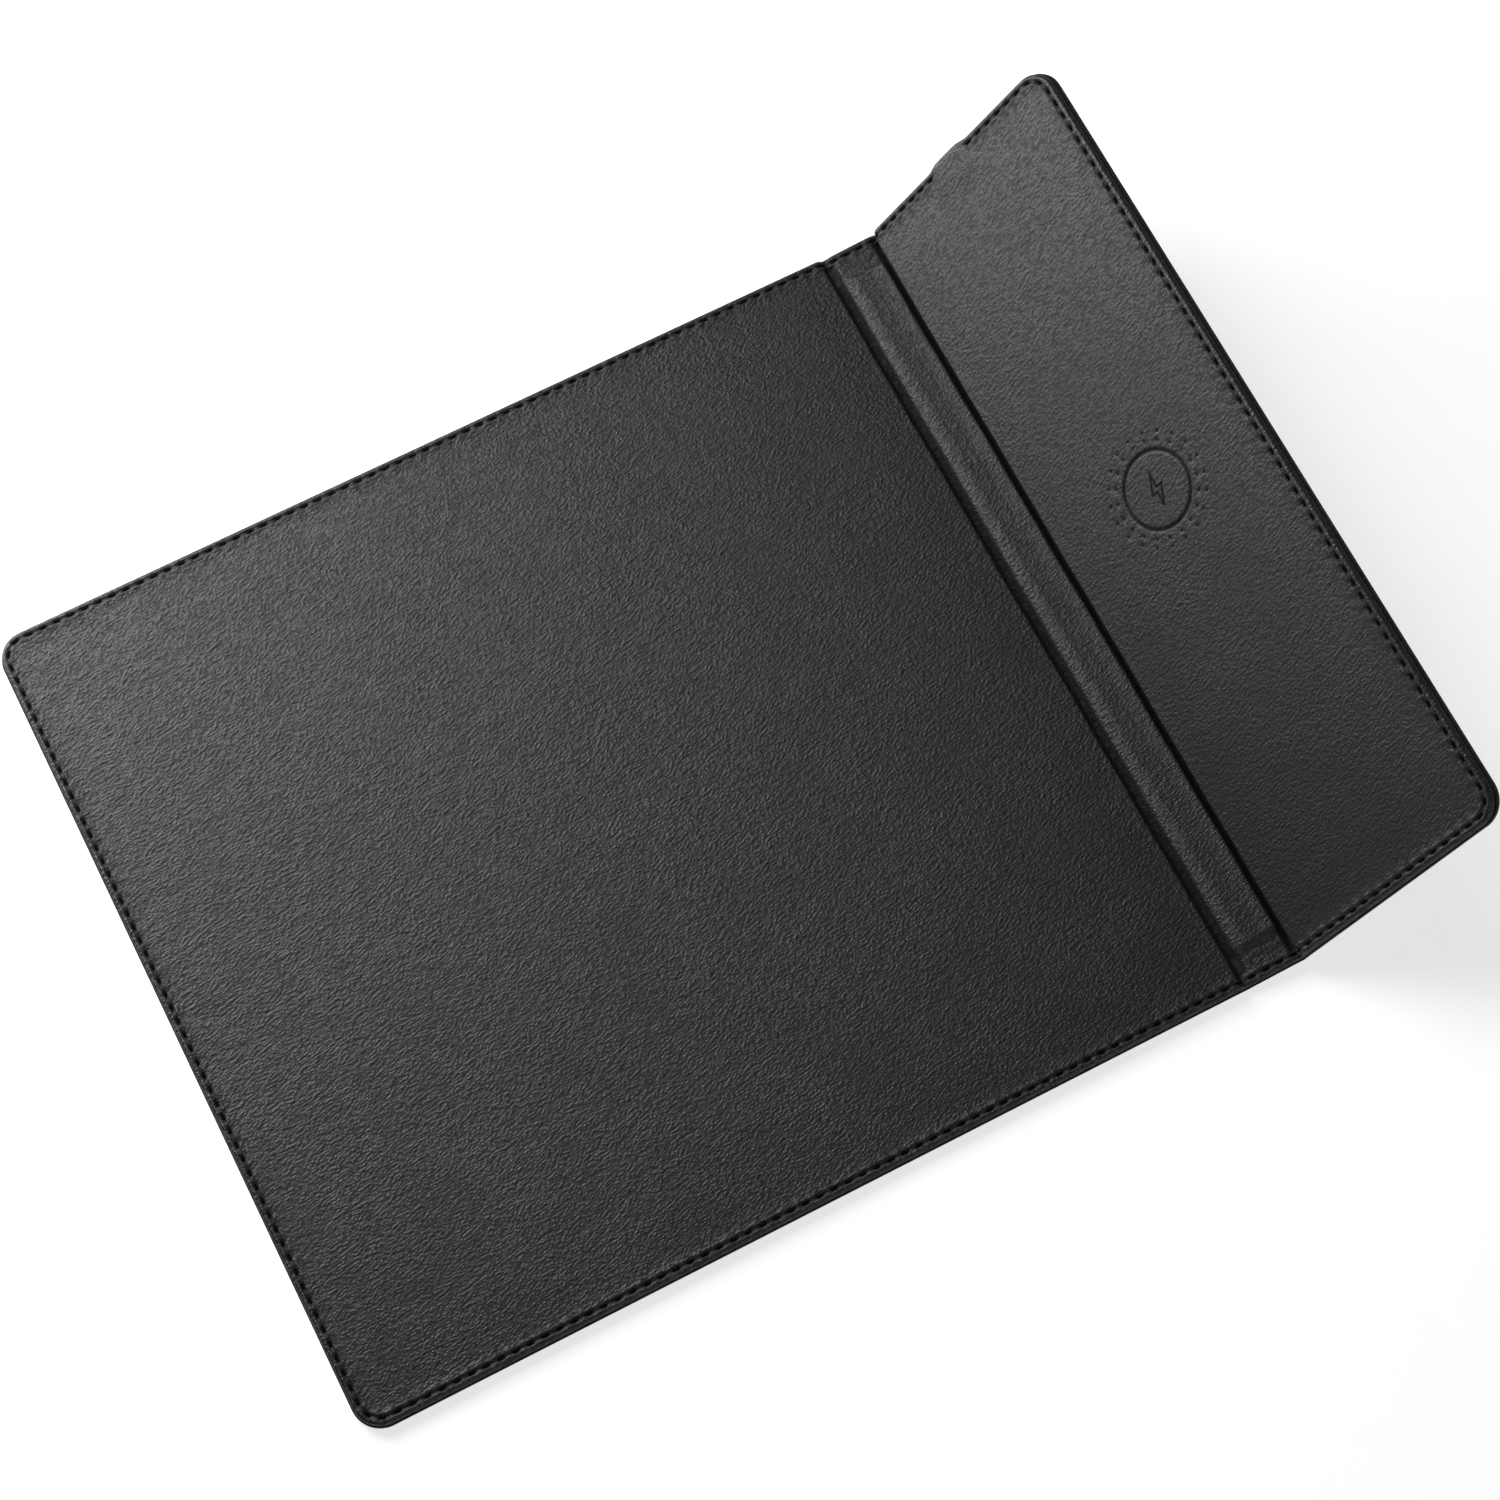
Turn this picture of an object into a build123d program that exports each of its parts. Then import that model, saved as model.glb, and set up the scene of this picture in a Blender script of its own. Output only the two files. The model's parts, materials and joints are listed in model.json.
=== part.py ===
from build123d import *

import os
from math import cos, radians, sin, tan

# A leather desk mat with a wireless charger in its raised phone flap.
#
# Everything is laid out flat first: the mat, the narrow spine and the flap in a
# row along +X, undersides at height 0. The spine, the flap and the prop leg are
# then folded up about their creases into the stand position.
# Origin: centre of the mat panel's resting face. +X points to the flap, +Z up.
# Millimetres.

# Driving dimensions
PAD_WIDTH = 210.0
MAT_LENGTH = 222.8         # free edge to the first crease
SPINE_PITCH = 14.9         # first crease to the second
FLAP_LENGTH = 65.0         # second crease to the flap's free edge
LEATHER = 0.7
MAT_THICKNESS = 3.5
SPINE_THICKNESS = 3.5
FLAP_THICKNESS = 4.0
CORNER_RADIUS = 7.0
HEM_WIDTH = 4.0            # turned-in edge of each leather sheet
TOP_INSET = 0.3            # the top sheet is this much smaller than the base sheet
EDGE_ROUND = 0.45
MAT_FOAM = 0.8

# Creases: how far each side can fold before the leather shoulders meet
CREASE_GAP = 0.15
MAT_BEVEL = 25.0
SPINE_BEVEL_LOW = 32.0
SPINE_BEVEL_HIGH = 40.0
FLAP_BEVEL = 18.0
HINGE_HEIGHT = LEATHER / 2

# Stand position
SPINE_TILT = 5.5
FLAP_TILT = 47.2
LEG_LEAN = 4.0             # the leg's foot stands this far out from upright

# Rib inside the spine
RIB_CLEARANCE = 0.05
RIB_END_INSET = 9.0
RIB_DISH = 0.35
RIB_LIP_PART = 1 / 6        # flat part of the rib's width beside each crease
SPINE_RIM_TOP = 2.8

# Stitching
STITCH_INSET = 1.95
THREAD_WIDTH = 0.45
THREAD_DEPTH = 0.25

# Prop leg
LEG_HINGE_U = 57.0         # distance from the second crease
LEG_WIDTH = 164.0
LEG_SKIN = 0.5
LEG_BOARD = 1.0
LEG_GAP = 0.3              # between the folded leg and the flap's back
LEG_START = 1.3            # bare leather between the hinge line and the leg
LEG_CORNER = 6.0
LEG_INNER_INSET = 0.2
LEG_HEM = 2.0
STRAP_WIDTH = 6.0
STRAP_OFFSET = 0.5
MAGNET_RADIUS = 3.5
MAGNET_THICKNESS = 0.8
MAGNET_TIP_DISTANCE = 6.4
MAGNET_Y = 68.0
MAGNET_CLEARANCE = 0.1
CATCH_THICKNESS = 0.4

# Charger module, placed from the charging mark in the flap
MARK_U = 32.8
MARK_Y = 3.9
MARK_RADIUS = 9.6
MARK_LINE = 0.5
MARK_DEPTH = 0.25
RAY_RADII = (11.6, 13.7)
RAY_COUNT = 20
DOT_RADIUS = 0.33
COIL_BAY = 54.0
BOARD_BAY_U = (24.6, 50.2)
BOARD_BAY_END_Y = 99.5
TRAY_FLOOR = 0.4
TRAY_WALL = 0.8
LID_THICKNESS = 0.4
FIT_GAP = 0.2
FERRITE_SIDE = 50.0
FERRITE_THICKNESS = 0.5
FERRITE_CORNER = 2.0
COIL_INNER_RADIUS = 10.4
COIL_WIRE = 1.0
COIL_PITCH = 1.12
COIL_TURNS = 10
LEAD_WIDTH = 1.6
LEAD_THICKNESS = 0.15
THERMISTOR_RADIUS = 1.2
THERMISTOR_HEIGHT = 0.9
PCB_THICKNESS = 0.6
PCB_RAISE = 0.1
PCB_START_Y = 37.0

# Parts soldered on the board: their centres as (distance from the second
# crease, Y), and their size along X, Y and Z
BOARD_PARTS = {
    "controller_chip": ([(37, 66)], (6.0, 6.0, 0.85)),
    "bridge_transistors": ([(31, 56), (37, 56), (43, 56)], (3.3, 3.3, 0.8)),
    "tank_capacitors": ([(30, 46), (34, 46), (38, 46), (42, 46)], (2.5, 3.2, 1.0)),
    "input_capacitors": ([(38, 84), (42, 84), (46, 84)], (2.0, 3.2, 1.0)),
    "input_inductor": ([(44, 74)], (4.0, 4.0, 1.0)),
    "timing_crystal": ([(30, 70)], (2.5, 3.2, 0.7)),
}

# USB-C socket at the flap's side edge
PORT_U = 30.5
PORT_WIDTH = 8.94
PORT_HEIGHT = 3.16
PORT_CORNER = 1.5
PORT_WALL = 0.3
PORT_LENGTH = 7.3
PORT_Z = 2.0
PORT_RECESS = 0.2          # socket mouth behind the leather's edge
PORT_CLEARANCE = 0.15
PORT_BOARD_CLEARANCE = 1.0
PORT_BULGE_WIDTH = 11.6
PORT_BULGE_HEIGHT = 0.35
PORT_BULGE_ROUND = 0.315
PORT_BULGE_DEPTH = 9.0
TONGUE_WIDTH = 6.7
TONGUE_THICKNESS = 0.7
TONGUE_LENGTH = 4.6
TONGUE_RECESS = 0.8
TONGUE_FIT = 0.02

HALF_WIDTH = PAD_WIDTH / 2
MAT_FREE_X = -MAT_LENGTH / 2
CREASE_1_X = MAT_LENGTH / 2
CREASE_2_X = CREASE_1_X + SPINE_PITCH
FLAP_FREE_X = CREASE_2_X + FLAP_LENGTH
LEG_AXIS_X = CREASE_2_X + LEG_HINGE_U
LEG_AXIS_Z = -LEATHER / 2
FOLD_SENSE = (0, -1, 0)    # a positive turn lifts the flap side

# Sizes of cutting tools, which reach past what they cut
FAR = 400.0
CUT_HEIGHT = 20.0
OVERCUT = 1.0
TOUCHING = 0.01


def leg_axis_in_stand():
    """Where the leg's hinge line is once the flap is folded up: x and z."""
    spine = radians(SPINE_TILT)
    flap = radians(FLAP_TILT)
    crease_x = CREASE_1_X + SPINE_PITCH * cos(spine)
    crease_z = HINGE_HEIGHT + SPINE_PITCH * sin(spine)
    drop = LEG_AXIS_Z - HINGE_HEIGHT
    axis_x = crease_x + LEG_HINGE_U * cos(flap) - drop * sin(flap)
    axis_z = crease_z + LEG_HINGE_U * sin(flap) + drop * cos(flap)
    return axis_x, axis_z


# The leg is as long as it takes for its foot to reach the desk
LEG_INNER_Z = -LEG_GAP
LEG_OUTER_Z = LEG_INNER_Z - 2 * LEG_SKIN - LEG_BOARD
LEG_LENGTH = (
    leg_axis_in_stand()[1] - (LEG_INNER_Z - LEG_AXIS_Z) * sin(radians(LEG_LEAN))
) / cos(radians(LEG_LEAN))
LEG_OPENING = 90.0 + LEG_LEAN - FLAP_TILT


# ---------- folding ----------

def fold_spine(shape):
    """Turn a flat-laid piece of the spine into the stand position."""
    axis = Axis((CREASE_1_X, 0, HINGE_HEIGHT), FOLD_SENSE)
    return shape.rotate(axis, SPINE_TILT)


def fold_flap(shape):
    """Turn a flat-laid piece of the flap into the stand position."""
    axis = Axis((CREASE_2_X, 0, HINGE_HEIGHT), FOLD_SENSE)
    return fold_spine(shape.rotate(axis, FLAP_TILT - SPINE_TILT))


def fold_leg(shape):
    """Open a piece of the folded leg, then fold it up with the flap."""
    axis = Axis((LEG_AXIS_X, 0, LEG_AXIS_Z), FOLD_SENSE)
    return fold_flap(shape.rotate(axis, LEG_OPENING))


# ---------- building blocks ----------

def block(x_low, x_high, y_low, y_high, z_low, z_high):
    """A box from its lowest and highest corners."""
    box = Box(x_high - x_low, y_high - y_low, z_high - z_low)
    centre = ((x_low + x_high) / 2, (y_low + y_high) / 2, (z_low + z_high) / 2)
    return Pos(*centre) * box


def disc(x, y, radius, z_low, z_high):
    """An upright round disc between two heights."""
    plate = Cylinder(radius, z_high - z_low)
    return Pos(x, y, (z_low + z_high) / 2) * plate


def profile_along_y(points, half_length):
    """A section in the XZ plane, drawn as points, running along Y."""
    face = Plane.XZ * make_face(Polyline(*points, close=True))
    return extrude(face, amount=half_length, both=True)


def shoulder(crease_x, side, angle, height, offset=0.0):
    """The x of a crease's sloping shoulder at a height; side is -1 or +1."""
    rise = max(height - HINGE_HEIGHT, 0.0)
    reach = CREASE_GAP + rise * tan(radians(angle)) + offset
    return crease_x + side * reach


def beyond_shoulder(crease_x, side, angle, offset=0.0):
    """The space on one side of a crease that may hold material."""
    far_x = crease_x + side * FAR
    near_low = shoulder(crease_x, side, angle, HINGE_HEIGHT, offset)
    near_high = shoulder(crease_x, side, angle, CUT_HEIGHT, offset)
    points = [
        (near_low, -CUT_HEIGHT),
        (near_low, HINGE_HEIGHT),
        (near_high, CUT_HEIGHT),
        (far_x, CUT_HEIGHT),
        (far_x, -CUT_HEIGHT),
    ]
    return profile_along_y(points, FAR)


def wall_offset(angle):
    """Width, along X, of a sloping wall one sheet thick."""
    return LEATHER / cos(radians(angle))


def panel_outline(free_x, crease_x, inset):
    """Panel from above: rounded corners at the free edge, square at the crease."""
    inward = 1 if crease_x > free_x else -1
    start = free_x + inward * inset
    rectangle = Rectangle(abs(crease_x - start), PAD_WIDTH - 2 * inset)
    face = Pos((start + crease_x) / 2, 0) * rectangle
    by_x = face.vertices().sort_by(Axis.X)
    corners = by_x[:2] if inward > 0 else by_x[-2:]
    return fillet(corners, CORNER_RADIUS - inset)


def panel_plate(free_x, crease_x, inset, z_low, z_high):
    """A flat plate with the panel's outline."""
    face = Pos(0, 0, z_low) * panel_outline(free_x, crease_x, inset)
    return extrude(face, amount=z_high - z_low)


def panel_rim(free_x, crease_x, inset, width, z_low, z_high):
    """A band along the panel's three outer sides."""
    outer = panel_plate(free_x, crease_x, inset, z_low, z_high)
    z_past = (z_low - OVERCUT, z_high + OVERCUT)
    inner = panel_plate(free_x, crease_x, inset + width, *z_past)
    return outer - inner


def round_outer_edges(plate, crease_x, z_edge):
    """Round a plate's edges at one height, except the one at the crease."""
    edges = ShapeList()
    for edge in plate.edges():
        box = edge.bounding_box()
        off_height = max(abs(box.min.Z - z_edge), abs(box.max.Z - z_edge))
        off_crease = max(abs(box.min.X - crease_x), abs(box.max.X - crease_x))
        if off_height < TOUCHING < off_crease:
            edges.append(edge)
    return fillet(edges, EDGE_ROUND)


def thread_path(free_x, crease_x, z_low, z_high):
    """The band that a seam's thread fills, around a panel's outer sides."""
    inset = STITCH_INSET - THREAD_WIDTH / 2
    return panel_rim(free_x, crease_x, inset, THREAD_WIDTH, z_low, z_high)


def sloping_wall(crease_x, side, angle, z_top):
    """Leather that goes from the padded top down to the crease."""
    outer_top = shoulder(crease_x, side, angle, z_top)
    outer_low = shoulder(crease_x, side, angle, LEATHER)
    width = wall_offset(angle)
    points = [
        (outer_low, LEATHER),
        (outer_top, z_top),
        (outer_top + side * width, z_top),
        (outer_low + side * width, LEATHER),
    ]
    return profile_along_y(points, HALF_WIDTH - HEM_WIDTH)


def interior(free_x, crease_x, side, angle, z_low, z_high):
    """What fits between a panel's two sheets, inside hems and crease wall."""
    plate = panel_plate(free_x, crease_x, HEM_WIDTH + FIT_GAP, z_low, z_high)
    offset = wall_offset(angle) + FIT_GAP
    return plate & beyond_shoulder(crease_x, side, angle, offset)


# ---------- covers shared by the mat and the flap ----------

def top_cover(free_x, crease_x, side, angle, thickness):
    """Top leather: a sheet, its turned-in hem and the slope down to the crease."""
    z_sheet = thickness - LEATHER
    z_seam = thickness / 2
    sheet = panel_plate(free_x, crease_x, TOP_INSET, z_sheet, thickness)
    sheet = round_outer_edges(sheet, crease_x, thickness)
    hem = panel_rim(free_x, crease_x, TOP_INSET, HEM_WIDTH - TOP_INSET, z_seam, z_sheet)
    wall = sloping_wall(crease_x, side, angle, thickness)
    cover = (sheet + hem + wall) & beyond_shoulder(crease_x, side, angle)
    return cover - thread_path(free_x, crease_x, thickness - THREAD_DEPTH, thickness + OVERCUT)


def base_cover(free_x, crease_x, side, angle, thickness):
    """Base leather: a sheet with its turned-in hem above it."""
    sheet = panel_plate(free_x, crease_x, 0, 0, LEATHER)
    sheet = round_outer_edges(sheet, crease_x, 0)
    hem = panel_rim(free_x, crease_x, 0, HEM_WIDTH, LEATHER, thickness / 2)
    cover = (sheet + hem) & beyond_shoulder(crease_x, side, angle)
    return cover - thread_path(free_x, crease_x, -OVERCUT, THREAD_DEPTH)


def stitching(free_x, crease_x, side, angle, thickness):
    """The needle thread on top and the bobbin thread below."""
    needle = thread_path(free_x, crease_x, thickness - THREAD_DEPTH, thickness)
    bobbin = thread_path(free_x, crease_x, 0, THREAD_DEPTH)
    limit = beyond_shoulder(crease_x, side, angle)
    return [needle & limit, bobbin & limit]


# ---------- mat ----------

def mat_pieces():
    """The large writing and mouse panel, which lies on the desk."""
    panel = (MAT_FREE_X, CREASE_1_X, -1, MAT_BEVEL)
    foam_low = MAT_THICKNESS - LEATHER - MAT_FOAM
    return {
        "mat_top_cover": top_cover(*panel, MAT_THICKNESS),
        "mat_foam": interior(*panel, foam_low, MAT_THICKNESS - LEATHER),
        "mat_board": interior(*panel, LEATHER, foam_low),
        "mat_base_cover": base_cover(*panel, MAT_THICKNESS),
        "mat_stitching": stitching(*panel, MAT_THICKNESS),
    }


# ---------- spine ----------

def within_spine(offset_low=0.0, offset_high=0.0):
    """The space between the two creases."""
    low = beyond_shoulder(CREASE_1_X, 1, SPINE_BEVEL_LOW, offset_low)
    high = beyond_shoulder(CREASE_2_X, -1, SPINE_BEVEL_HIGH, offset_high)
    return low & high


def dished_block(z_low, z_high, half_length):
    """A block across the spine whose top is dished along its middle."""
    slab = block(CREASE_1_X, CREASE_2_X, -half_length, half_length, z_low, z_high)
    width_low = shoulder(CREASE_1_X, 1, SPINE_BEVEL_LOW, z_high)
    width_high = shoulder(CREASE_2_X, -1, SPINE_BEVEL_HIGH, z_high)
    margin = (width_high - width_low) * RIB_LIP_PART
    middle = (width_low + width_high) / 2
    rise = z_high + OVERCUT
    line = Polyline(
        (width_high - margin, z_high),
        (width_high - margin, rise),
        (width_low + margin, rise),
        (width_low + margin, z_high),
    )
    arc = ThreePointArc(
        (width_low + margin, z_high),
        (middle, z_high - RIB_DISH),
        (width_high - margin, z_high),
    )
    face = Plane.XZ * make_face([line, arc])
    dish = extrude(face, amount=half_length + OVERCUT, both=True)
    return slab - dish


def spine_rib():
    """The stiff insert that makes the phone's stop."""
    top = SPINE_THICKNESS - LEATHER
    low = wall_offset(SPINE_BEVEL_LOW) + RIB_CLEARANCE
    high = wall_offset(SPINE_BEVEL_HIGH) + RIB_CLEARANCE
    body = dished_block(LEATHER, top, HALF_WIDTH - RIB_END_INSET)
    return body & within_spine(low, high)


def spine_top_cover():
    """Leather over the rib, flat again beyond the rib's ends."""
    rib_end = HALF_WIDTH - RIB_END_INSET
    seam_y = HALF_WIDTH - HEM_WIDTH
    edge_y = HALF_WIDTH - TOP_INSET
    hull = dished_block(LEATHER, SPINE_THICKNESS, rib_end + LEATHER)
    low = wall_offset(SPINE_BEVEL_LOW)
    high = wall_offset(SPINE_BEVEL_HIGH)
    hollow = dished_block(LEATHER - OVERCUT, SPINE_THICKNESS - LEATHER, rib_end)
    hollow &= within_spine(low, high)
    cover = (hull & within_spine()) - hollow
    for side in (-1, 1):
        y_low, y_high = sorted((side * rib_end, side * seam_y))
        web = block(CREASE_1_X, CREASE_2_X, y_low, y_high, LEATHER, 2 * LEATHER)
        y_low, y_high = sorted((side * (seam_y - LEATHER), side * edge_y))
        hem = block(CREASE_1_X, CREASE_2_X, y_low, y_high, LEATHER * 2, SPINE_RIM_TOP)
        y_low, y_high = sorted((side * (seam_y - LEATHER), side * seam_y))
        post = block(CREASE_1_X, CREASE_2_X, y_low, y_high, LEATHER, SPINE_RIM_TOP)
        cover += ((web + hem + post) & within_spine()) - hollow
        cover -= thread_bar(side, SPINE_RIM_TOP - THREAD_DEPTH, SPINE_RIM_TOP + OVERCUT)
    return cover


def spine_base_cover():
    """Base leather under the spine, with its two short hems."""
    sheet = block(CREASE_1_X, CREASE_2_X, -HALF_WIDTH, HALF_WIDTH, 0, LEATHER)
    cover = sheet
    for side in (-1, 1):
        y_low, y_high = sorted((side * (HALF_WIDTH - HEM_WIDTH), side * HALF_WIDTH))
        cover += block(CREASE_1_X, CREASE_2_X, y_low, y_high, LEATHER, 2 * LEATHER)
        cover -= thread_bar(side, -OVERCUT, THREAD_DEPTH)
    return cover & within_spine()


def thread_bar(side, z_low, z_high):
    """A short straight run of thread across the spine."""
    y_mid = side * (HALF_WIDTH - STITCH_INSET)
    half = THREAD_WIDTH / 2
    return block(CREASE_1_X, CREASE_2_X, y_mid - half, y_mid + half, z_low, z_high)


def spine_stitching():
    """Needle and bobbin threads at both ends of the spine."""
    runs = []
    for side in (-1, 1):
        needle = thread_bar(side, SPINE_RIM_TOP - THREAD_DEPTH, SPINE_RIM_TOP)
        bobbin = thread_bar(side, 0, THREAD_DEPTH)
        runs.append(needle & within_spine())
        runs.append(bobbin & within_spine())
    return runs


def spine_pieces():
    """The narrow strip between the creases."""
    return {
        "spine_top_cover": spine_top_cover(),
        "spine_rib": spine_rib(),
        "spine_base_cover": spine_base_cover(),
        "spine_stitching": spine_stitching(),
    }


# ---------- charger module ----------

TRAY_Z = LEATHER
LID_Z = FLAP_THICKNESS - LEATHER - LID_THICKNESS
FLOOR_Z = TRAY_Z + TRAY_FLOOR
FERRITE_Z = FLOOR_Z + FERRITE_THICKNESS
COIL_Z = FERRITE_Z + COIL_WIRE
PCB_Z = FLOOR_Z + PCB_RAISE
PCB_TOP = PCB_Z + PCB_THICKNESS
COIL_X = CREASE_2_X + MARK_U
PORT_X = CREASE_2_X + PORT_U
PORT_MOUTH_Y = HALF_WIDTH - PORT_RECESS
PORT_BACK_Y = PORT_MOUTH_Y - PORT_LENGTH
SKIVED_FROM_Y = BOARD_BAY_END_Y - PORT_LENGTH    # leather is thinned at the socket


def tray_footprint(margin, z_low, z_high):
    """The module from above: a square coil bay and a narrower board bay."""
    half = COIL_BAY / 2 + margin
    coil_bay = block(
        COIL_X - half, COIL_X + half, MARK_Y - half, MARK_Y + half, z_low, z_high
    )
    x_low = CREASE_2_X + BOARD_BAY_U[0] - margin
    x_high = CREASE_2_X + BOARD_BAY_U[1] + margin
    y_high = BOARD_BAY_END_Y + margin
    return coil_bay + block(x_low, x_high, MARK_Y, y_high, z_low, z_high)


def port_passage(margin, y_low):
    """The clear space around the socket, out to the leather's edge."""
    half_width = PORT_WIDTH / 2 + margin
    half_height = PORT_HEIGHT / 2 + margin
    return block(
        PORT_X - half_width,
        PORT_X + half_width,
        y_low,
        HALF_WIDTH + OVERCUT,
        PORT_Z - half_height,
        PORT_Z + half_height,
    )


def charger_tray():
    """Lower half of the module's plastic case, open at the top."""
    outside = tray_footprint(0, TRAY_Z, LID_Z)
    inside = tray_footprint(-TRAY_WALL, FLOOR_Z, LID_Z + OVERCUT)
    passage = port_passage(PORT_CLEARANCE, PORT_BACK_Y - PORT_CLEARANCE)
    return outside - inside - passage


def charger_lid():
    """Flat plastic lid, which backs the leather where the phone lies."""
    lid = tray_footprint(0, LID_Z, LID_Z + LID_THICKNESS)
    return lid - port_passage(PORT_CLEARANCE, PORT_BACK_Y - PORT_CLEARANCE)


def ferrite_sheet():
    """Magnetic shield under the coil."""
    face = RectangleRounded(FERRITE_SIDE, FERRITE_SIDE, FERRITE_CORNER)
    return extrude(Pos(COIL_X, MARK_Y, FLOOR_Z) * face, amount=FERRITE_THICKNESS)


def spiral_edges(start_radius):
    """A flat spiral of half circles, each one half a pitch wider."""
    edges = []
    x = -start_radius
    for half_turn in range(2 * COIL_TURNS):
        radius = start_radius + half_turn * COIL_PITCH / 2
        direction = 1 if half_turn % 2 == 0 else -1
        centre = x + direction * radius
        end = x + direction * 2 * radius
        top = (centre, direction * radius)
        edges.append(ThreePointArc((x, 0), top, (end, 0)))
        x = end
    return edges, x


def charging_coil():
    """Flat coil of wire wound from the middle outwards."""
    inner, inner_end = spiral_edges(COIL_INNER_RADIUS)
    outer, outer_end = spiral_edges(COIL_INNER_RADIUS + COIL_WIRE)
    start = Line((-COIL_INNER_RADIUS, 0), (-COIL_INNER_RADIUS - COIL_WIRE, 0))
    end = Line((inner_end, 0), (outer_end, 0))
    face = make_face(inner + outer + [start, end])
    return extrude(Pos(COIL_X, MARK_Y, FERRITE_Z) * face, amount=COIL_WIRE)


def lead_strip(x_from, x_to, y_from, y_to):
    """A straight run of flat lead between two points on its middle line."""
    half = LEAD_WIDTH / 2
    x_low, x_high = sorted((x_from, x_to))
    z_high = COIL_Z + LEAD_THICKNESS
    return block(x_low - half, x_high + half, y_from - half, y_to + half, COIL_Z, z_high)


def coil_leads():
    """Two flat leads from the coil's ends to posts on the circuit board."""
    inner_x = COIL_X - COIL_INNER_RADIUS
    outer_x = inner_x - (COIL_TURNS + 0.5) * COIL_PITCH
    board_x = CREASE_2_X + BOARD_BAY_U[0] + 3 * LEAD_WIDTH
    bay_end = MARK_Y + COIL_BAY / 2 - TRAY_WALL
    post_y = PCB_START_Y + LEAD_WIDTH
    half = LEAD_WIDTH / 2
    routes = [
        (inner_x, bay_end - 4 * LEAD_WIDTH, board_x + 2 * LEAD_WIDTH),
        (outer_x, bay_end - 2 * LEAD_WIDTH, board_x),
    ]
    leads = []
    for start_x, turn_y, end_x in routes:
        lead = lead_strip(start_x, start_x, MARK_Y, turn_y)
        lead += lead_strip(start_x, end_x, turn_y, turn_y)
        lead += lead_strip(end_x, end_x, turn_y, post_y)
        post = block(end_x - half, end_x + half, post_y - half, post_y + half, PCB_TOP, COIL_Z)
        leads.append(lead + post)
    return leads


def circuit_board():
    """Board that drives the coil, notched for the socket."""
    x_low = CREASE_2_X + BOARD_BAY_U[0] + TRAY_WALL + FIT_GAP
    x_high = CREASE_2_X + BOARD_BAY_U[1] - TRAY_WALL - FIT_GAP
    y_high = BOARD_BAY_END_Y - TRAY_WALL - FIT_GAP
    board = block(x_low, x_high, PCB_START_Y, y_high, PCB_Z, PCB_TOP)
    notch = port_passage(PORT_CLEARANCE, PORT_BACK_Y - PORT_CLEARANCE)
    return board - notch


def chips(centres, size):
    """Equal rectangular parts standing on the board, at (u, y) centres."""
    width, depth, height = size
    parts = []
    for u, y in centres:
        x = CREASE_2_X + u
        parts.append(
            block(
                x - width / 2,
                x + width / 2,
                y - depth / 2,
                y + depth / 2,
                PCB_TOP,
                PCB_TOP + height,
            )
        )
    return parts


def board_parts():
    """What is soldered on the circuit board, each kind in its own node."""
    return {name: chips(*layout) for name, layout in BOARD_PARTS.items()}


def usb_socket_shell():
    """Stamped steel shell of the socket, closed at the back."""
    outer = RectangleRounded(PORT_WIDTH, PORT_HEIGHT, PORT_CORNER)
    bore_corner = PORT_CORNER - PORT_WALL
    bore = RectangleRounded(
        PORT_WIDTH - 2 * PORT_WALL, PORT_HEIGHT - 2 * PORT_WALL, bore_corner
    )
    mouth = Plane((PORT_X, PORT_MOUTH_Y, PORT_Z), x_dir=(1, 0, 0), z_dir=(0, -1, 0))
    tube = extrude(mouth * outer, amount=PORT_LENGTH)
    return tube - extrude(mouth * bore, amount=PORT_LENGTH - PORT_WALL)


def usb_socket_tongue():
    """Plastic tongue that carries the contacts, on its rear block."""
    rear_y = PORT_BACK_Y + PORT_WALL
    block_depth = PORT_LENGTH - PORT_WALL - TONGUE_LENGTH - TONGUE_RECESS
    half_bore = PORT_WIDTH / 2 - PORT_CORNER
    half_height = PORT_HEIGHT / 2 - PORT_WALL - TONGUE_FIT
    rear = block(
        PORT_X - half_bore,
        PORT_X + half_bore,
        rear_y,
        rear_y + block_depth,
        PORT_Z - half_height,
        PORT_Z + half_height,
    )
    tongue = block(
        PORT_X - TONGUE_WIDTH / 2,
        PORT_X + TONGUE_WIDTH / 2,
        rear_y,
        rear_y + block_depth + TONGUE_LENGTH,
        PORT_Z - TONGUE_THICKNESS / 2,
        PORT_Z + TONGUE_THICKNESS / 2,
    )
    return rear + tongue


def thermistor():
    """Temperature bead at the coil's middle, on the ferrite."""
    z_high = FERRITE_Z + THERMISTOR_HEIGHT
    return disc(COIL_X, MARK_Y, THERMISTOR_RADIUS, FERRITE_Z, z_high)


# ---------- flap ----------

def flap_panel():
    return FLAP_FREE_X, CREASE_2_X, 1, FLAP_BEVEL


def mark_rays():
    """Two rings of fine dots around the charging mark."""
    dots = []
    for radius in RAY_RADII:
        for ray in range(RAY_COUNT):
            angle = radians(ray * 360 / RAY_COUNT)
            x = COIL_X + radius * cos(angle)
            y = MARK_Y + radius * sin(angle)
            dot = Cylinder(DOT_RADIUS, 2 * MARK_DEPTH)
            dots.append(Pos(x, y, FLAP_THICKNESS) * dot)
    return dots


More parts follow.
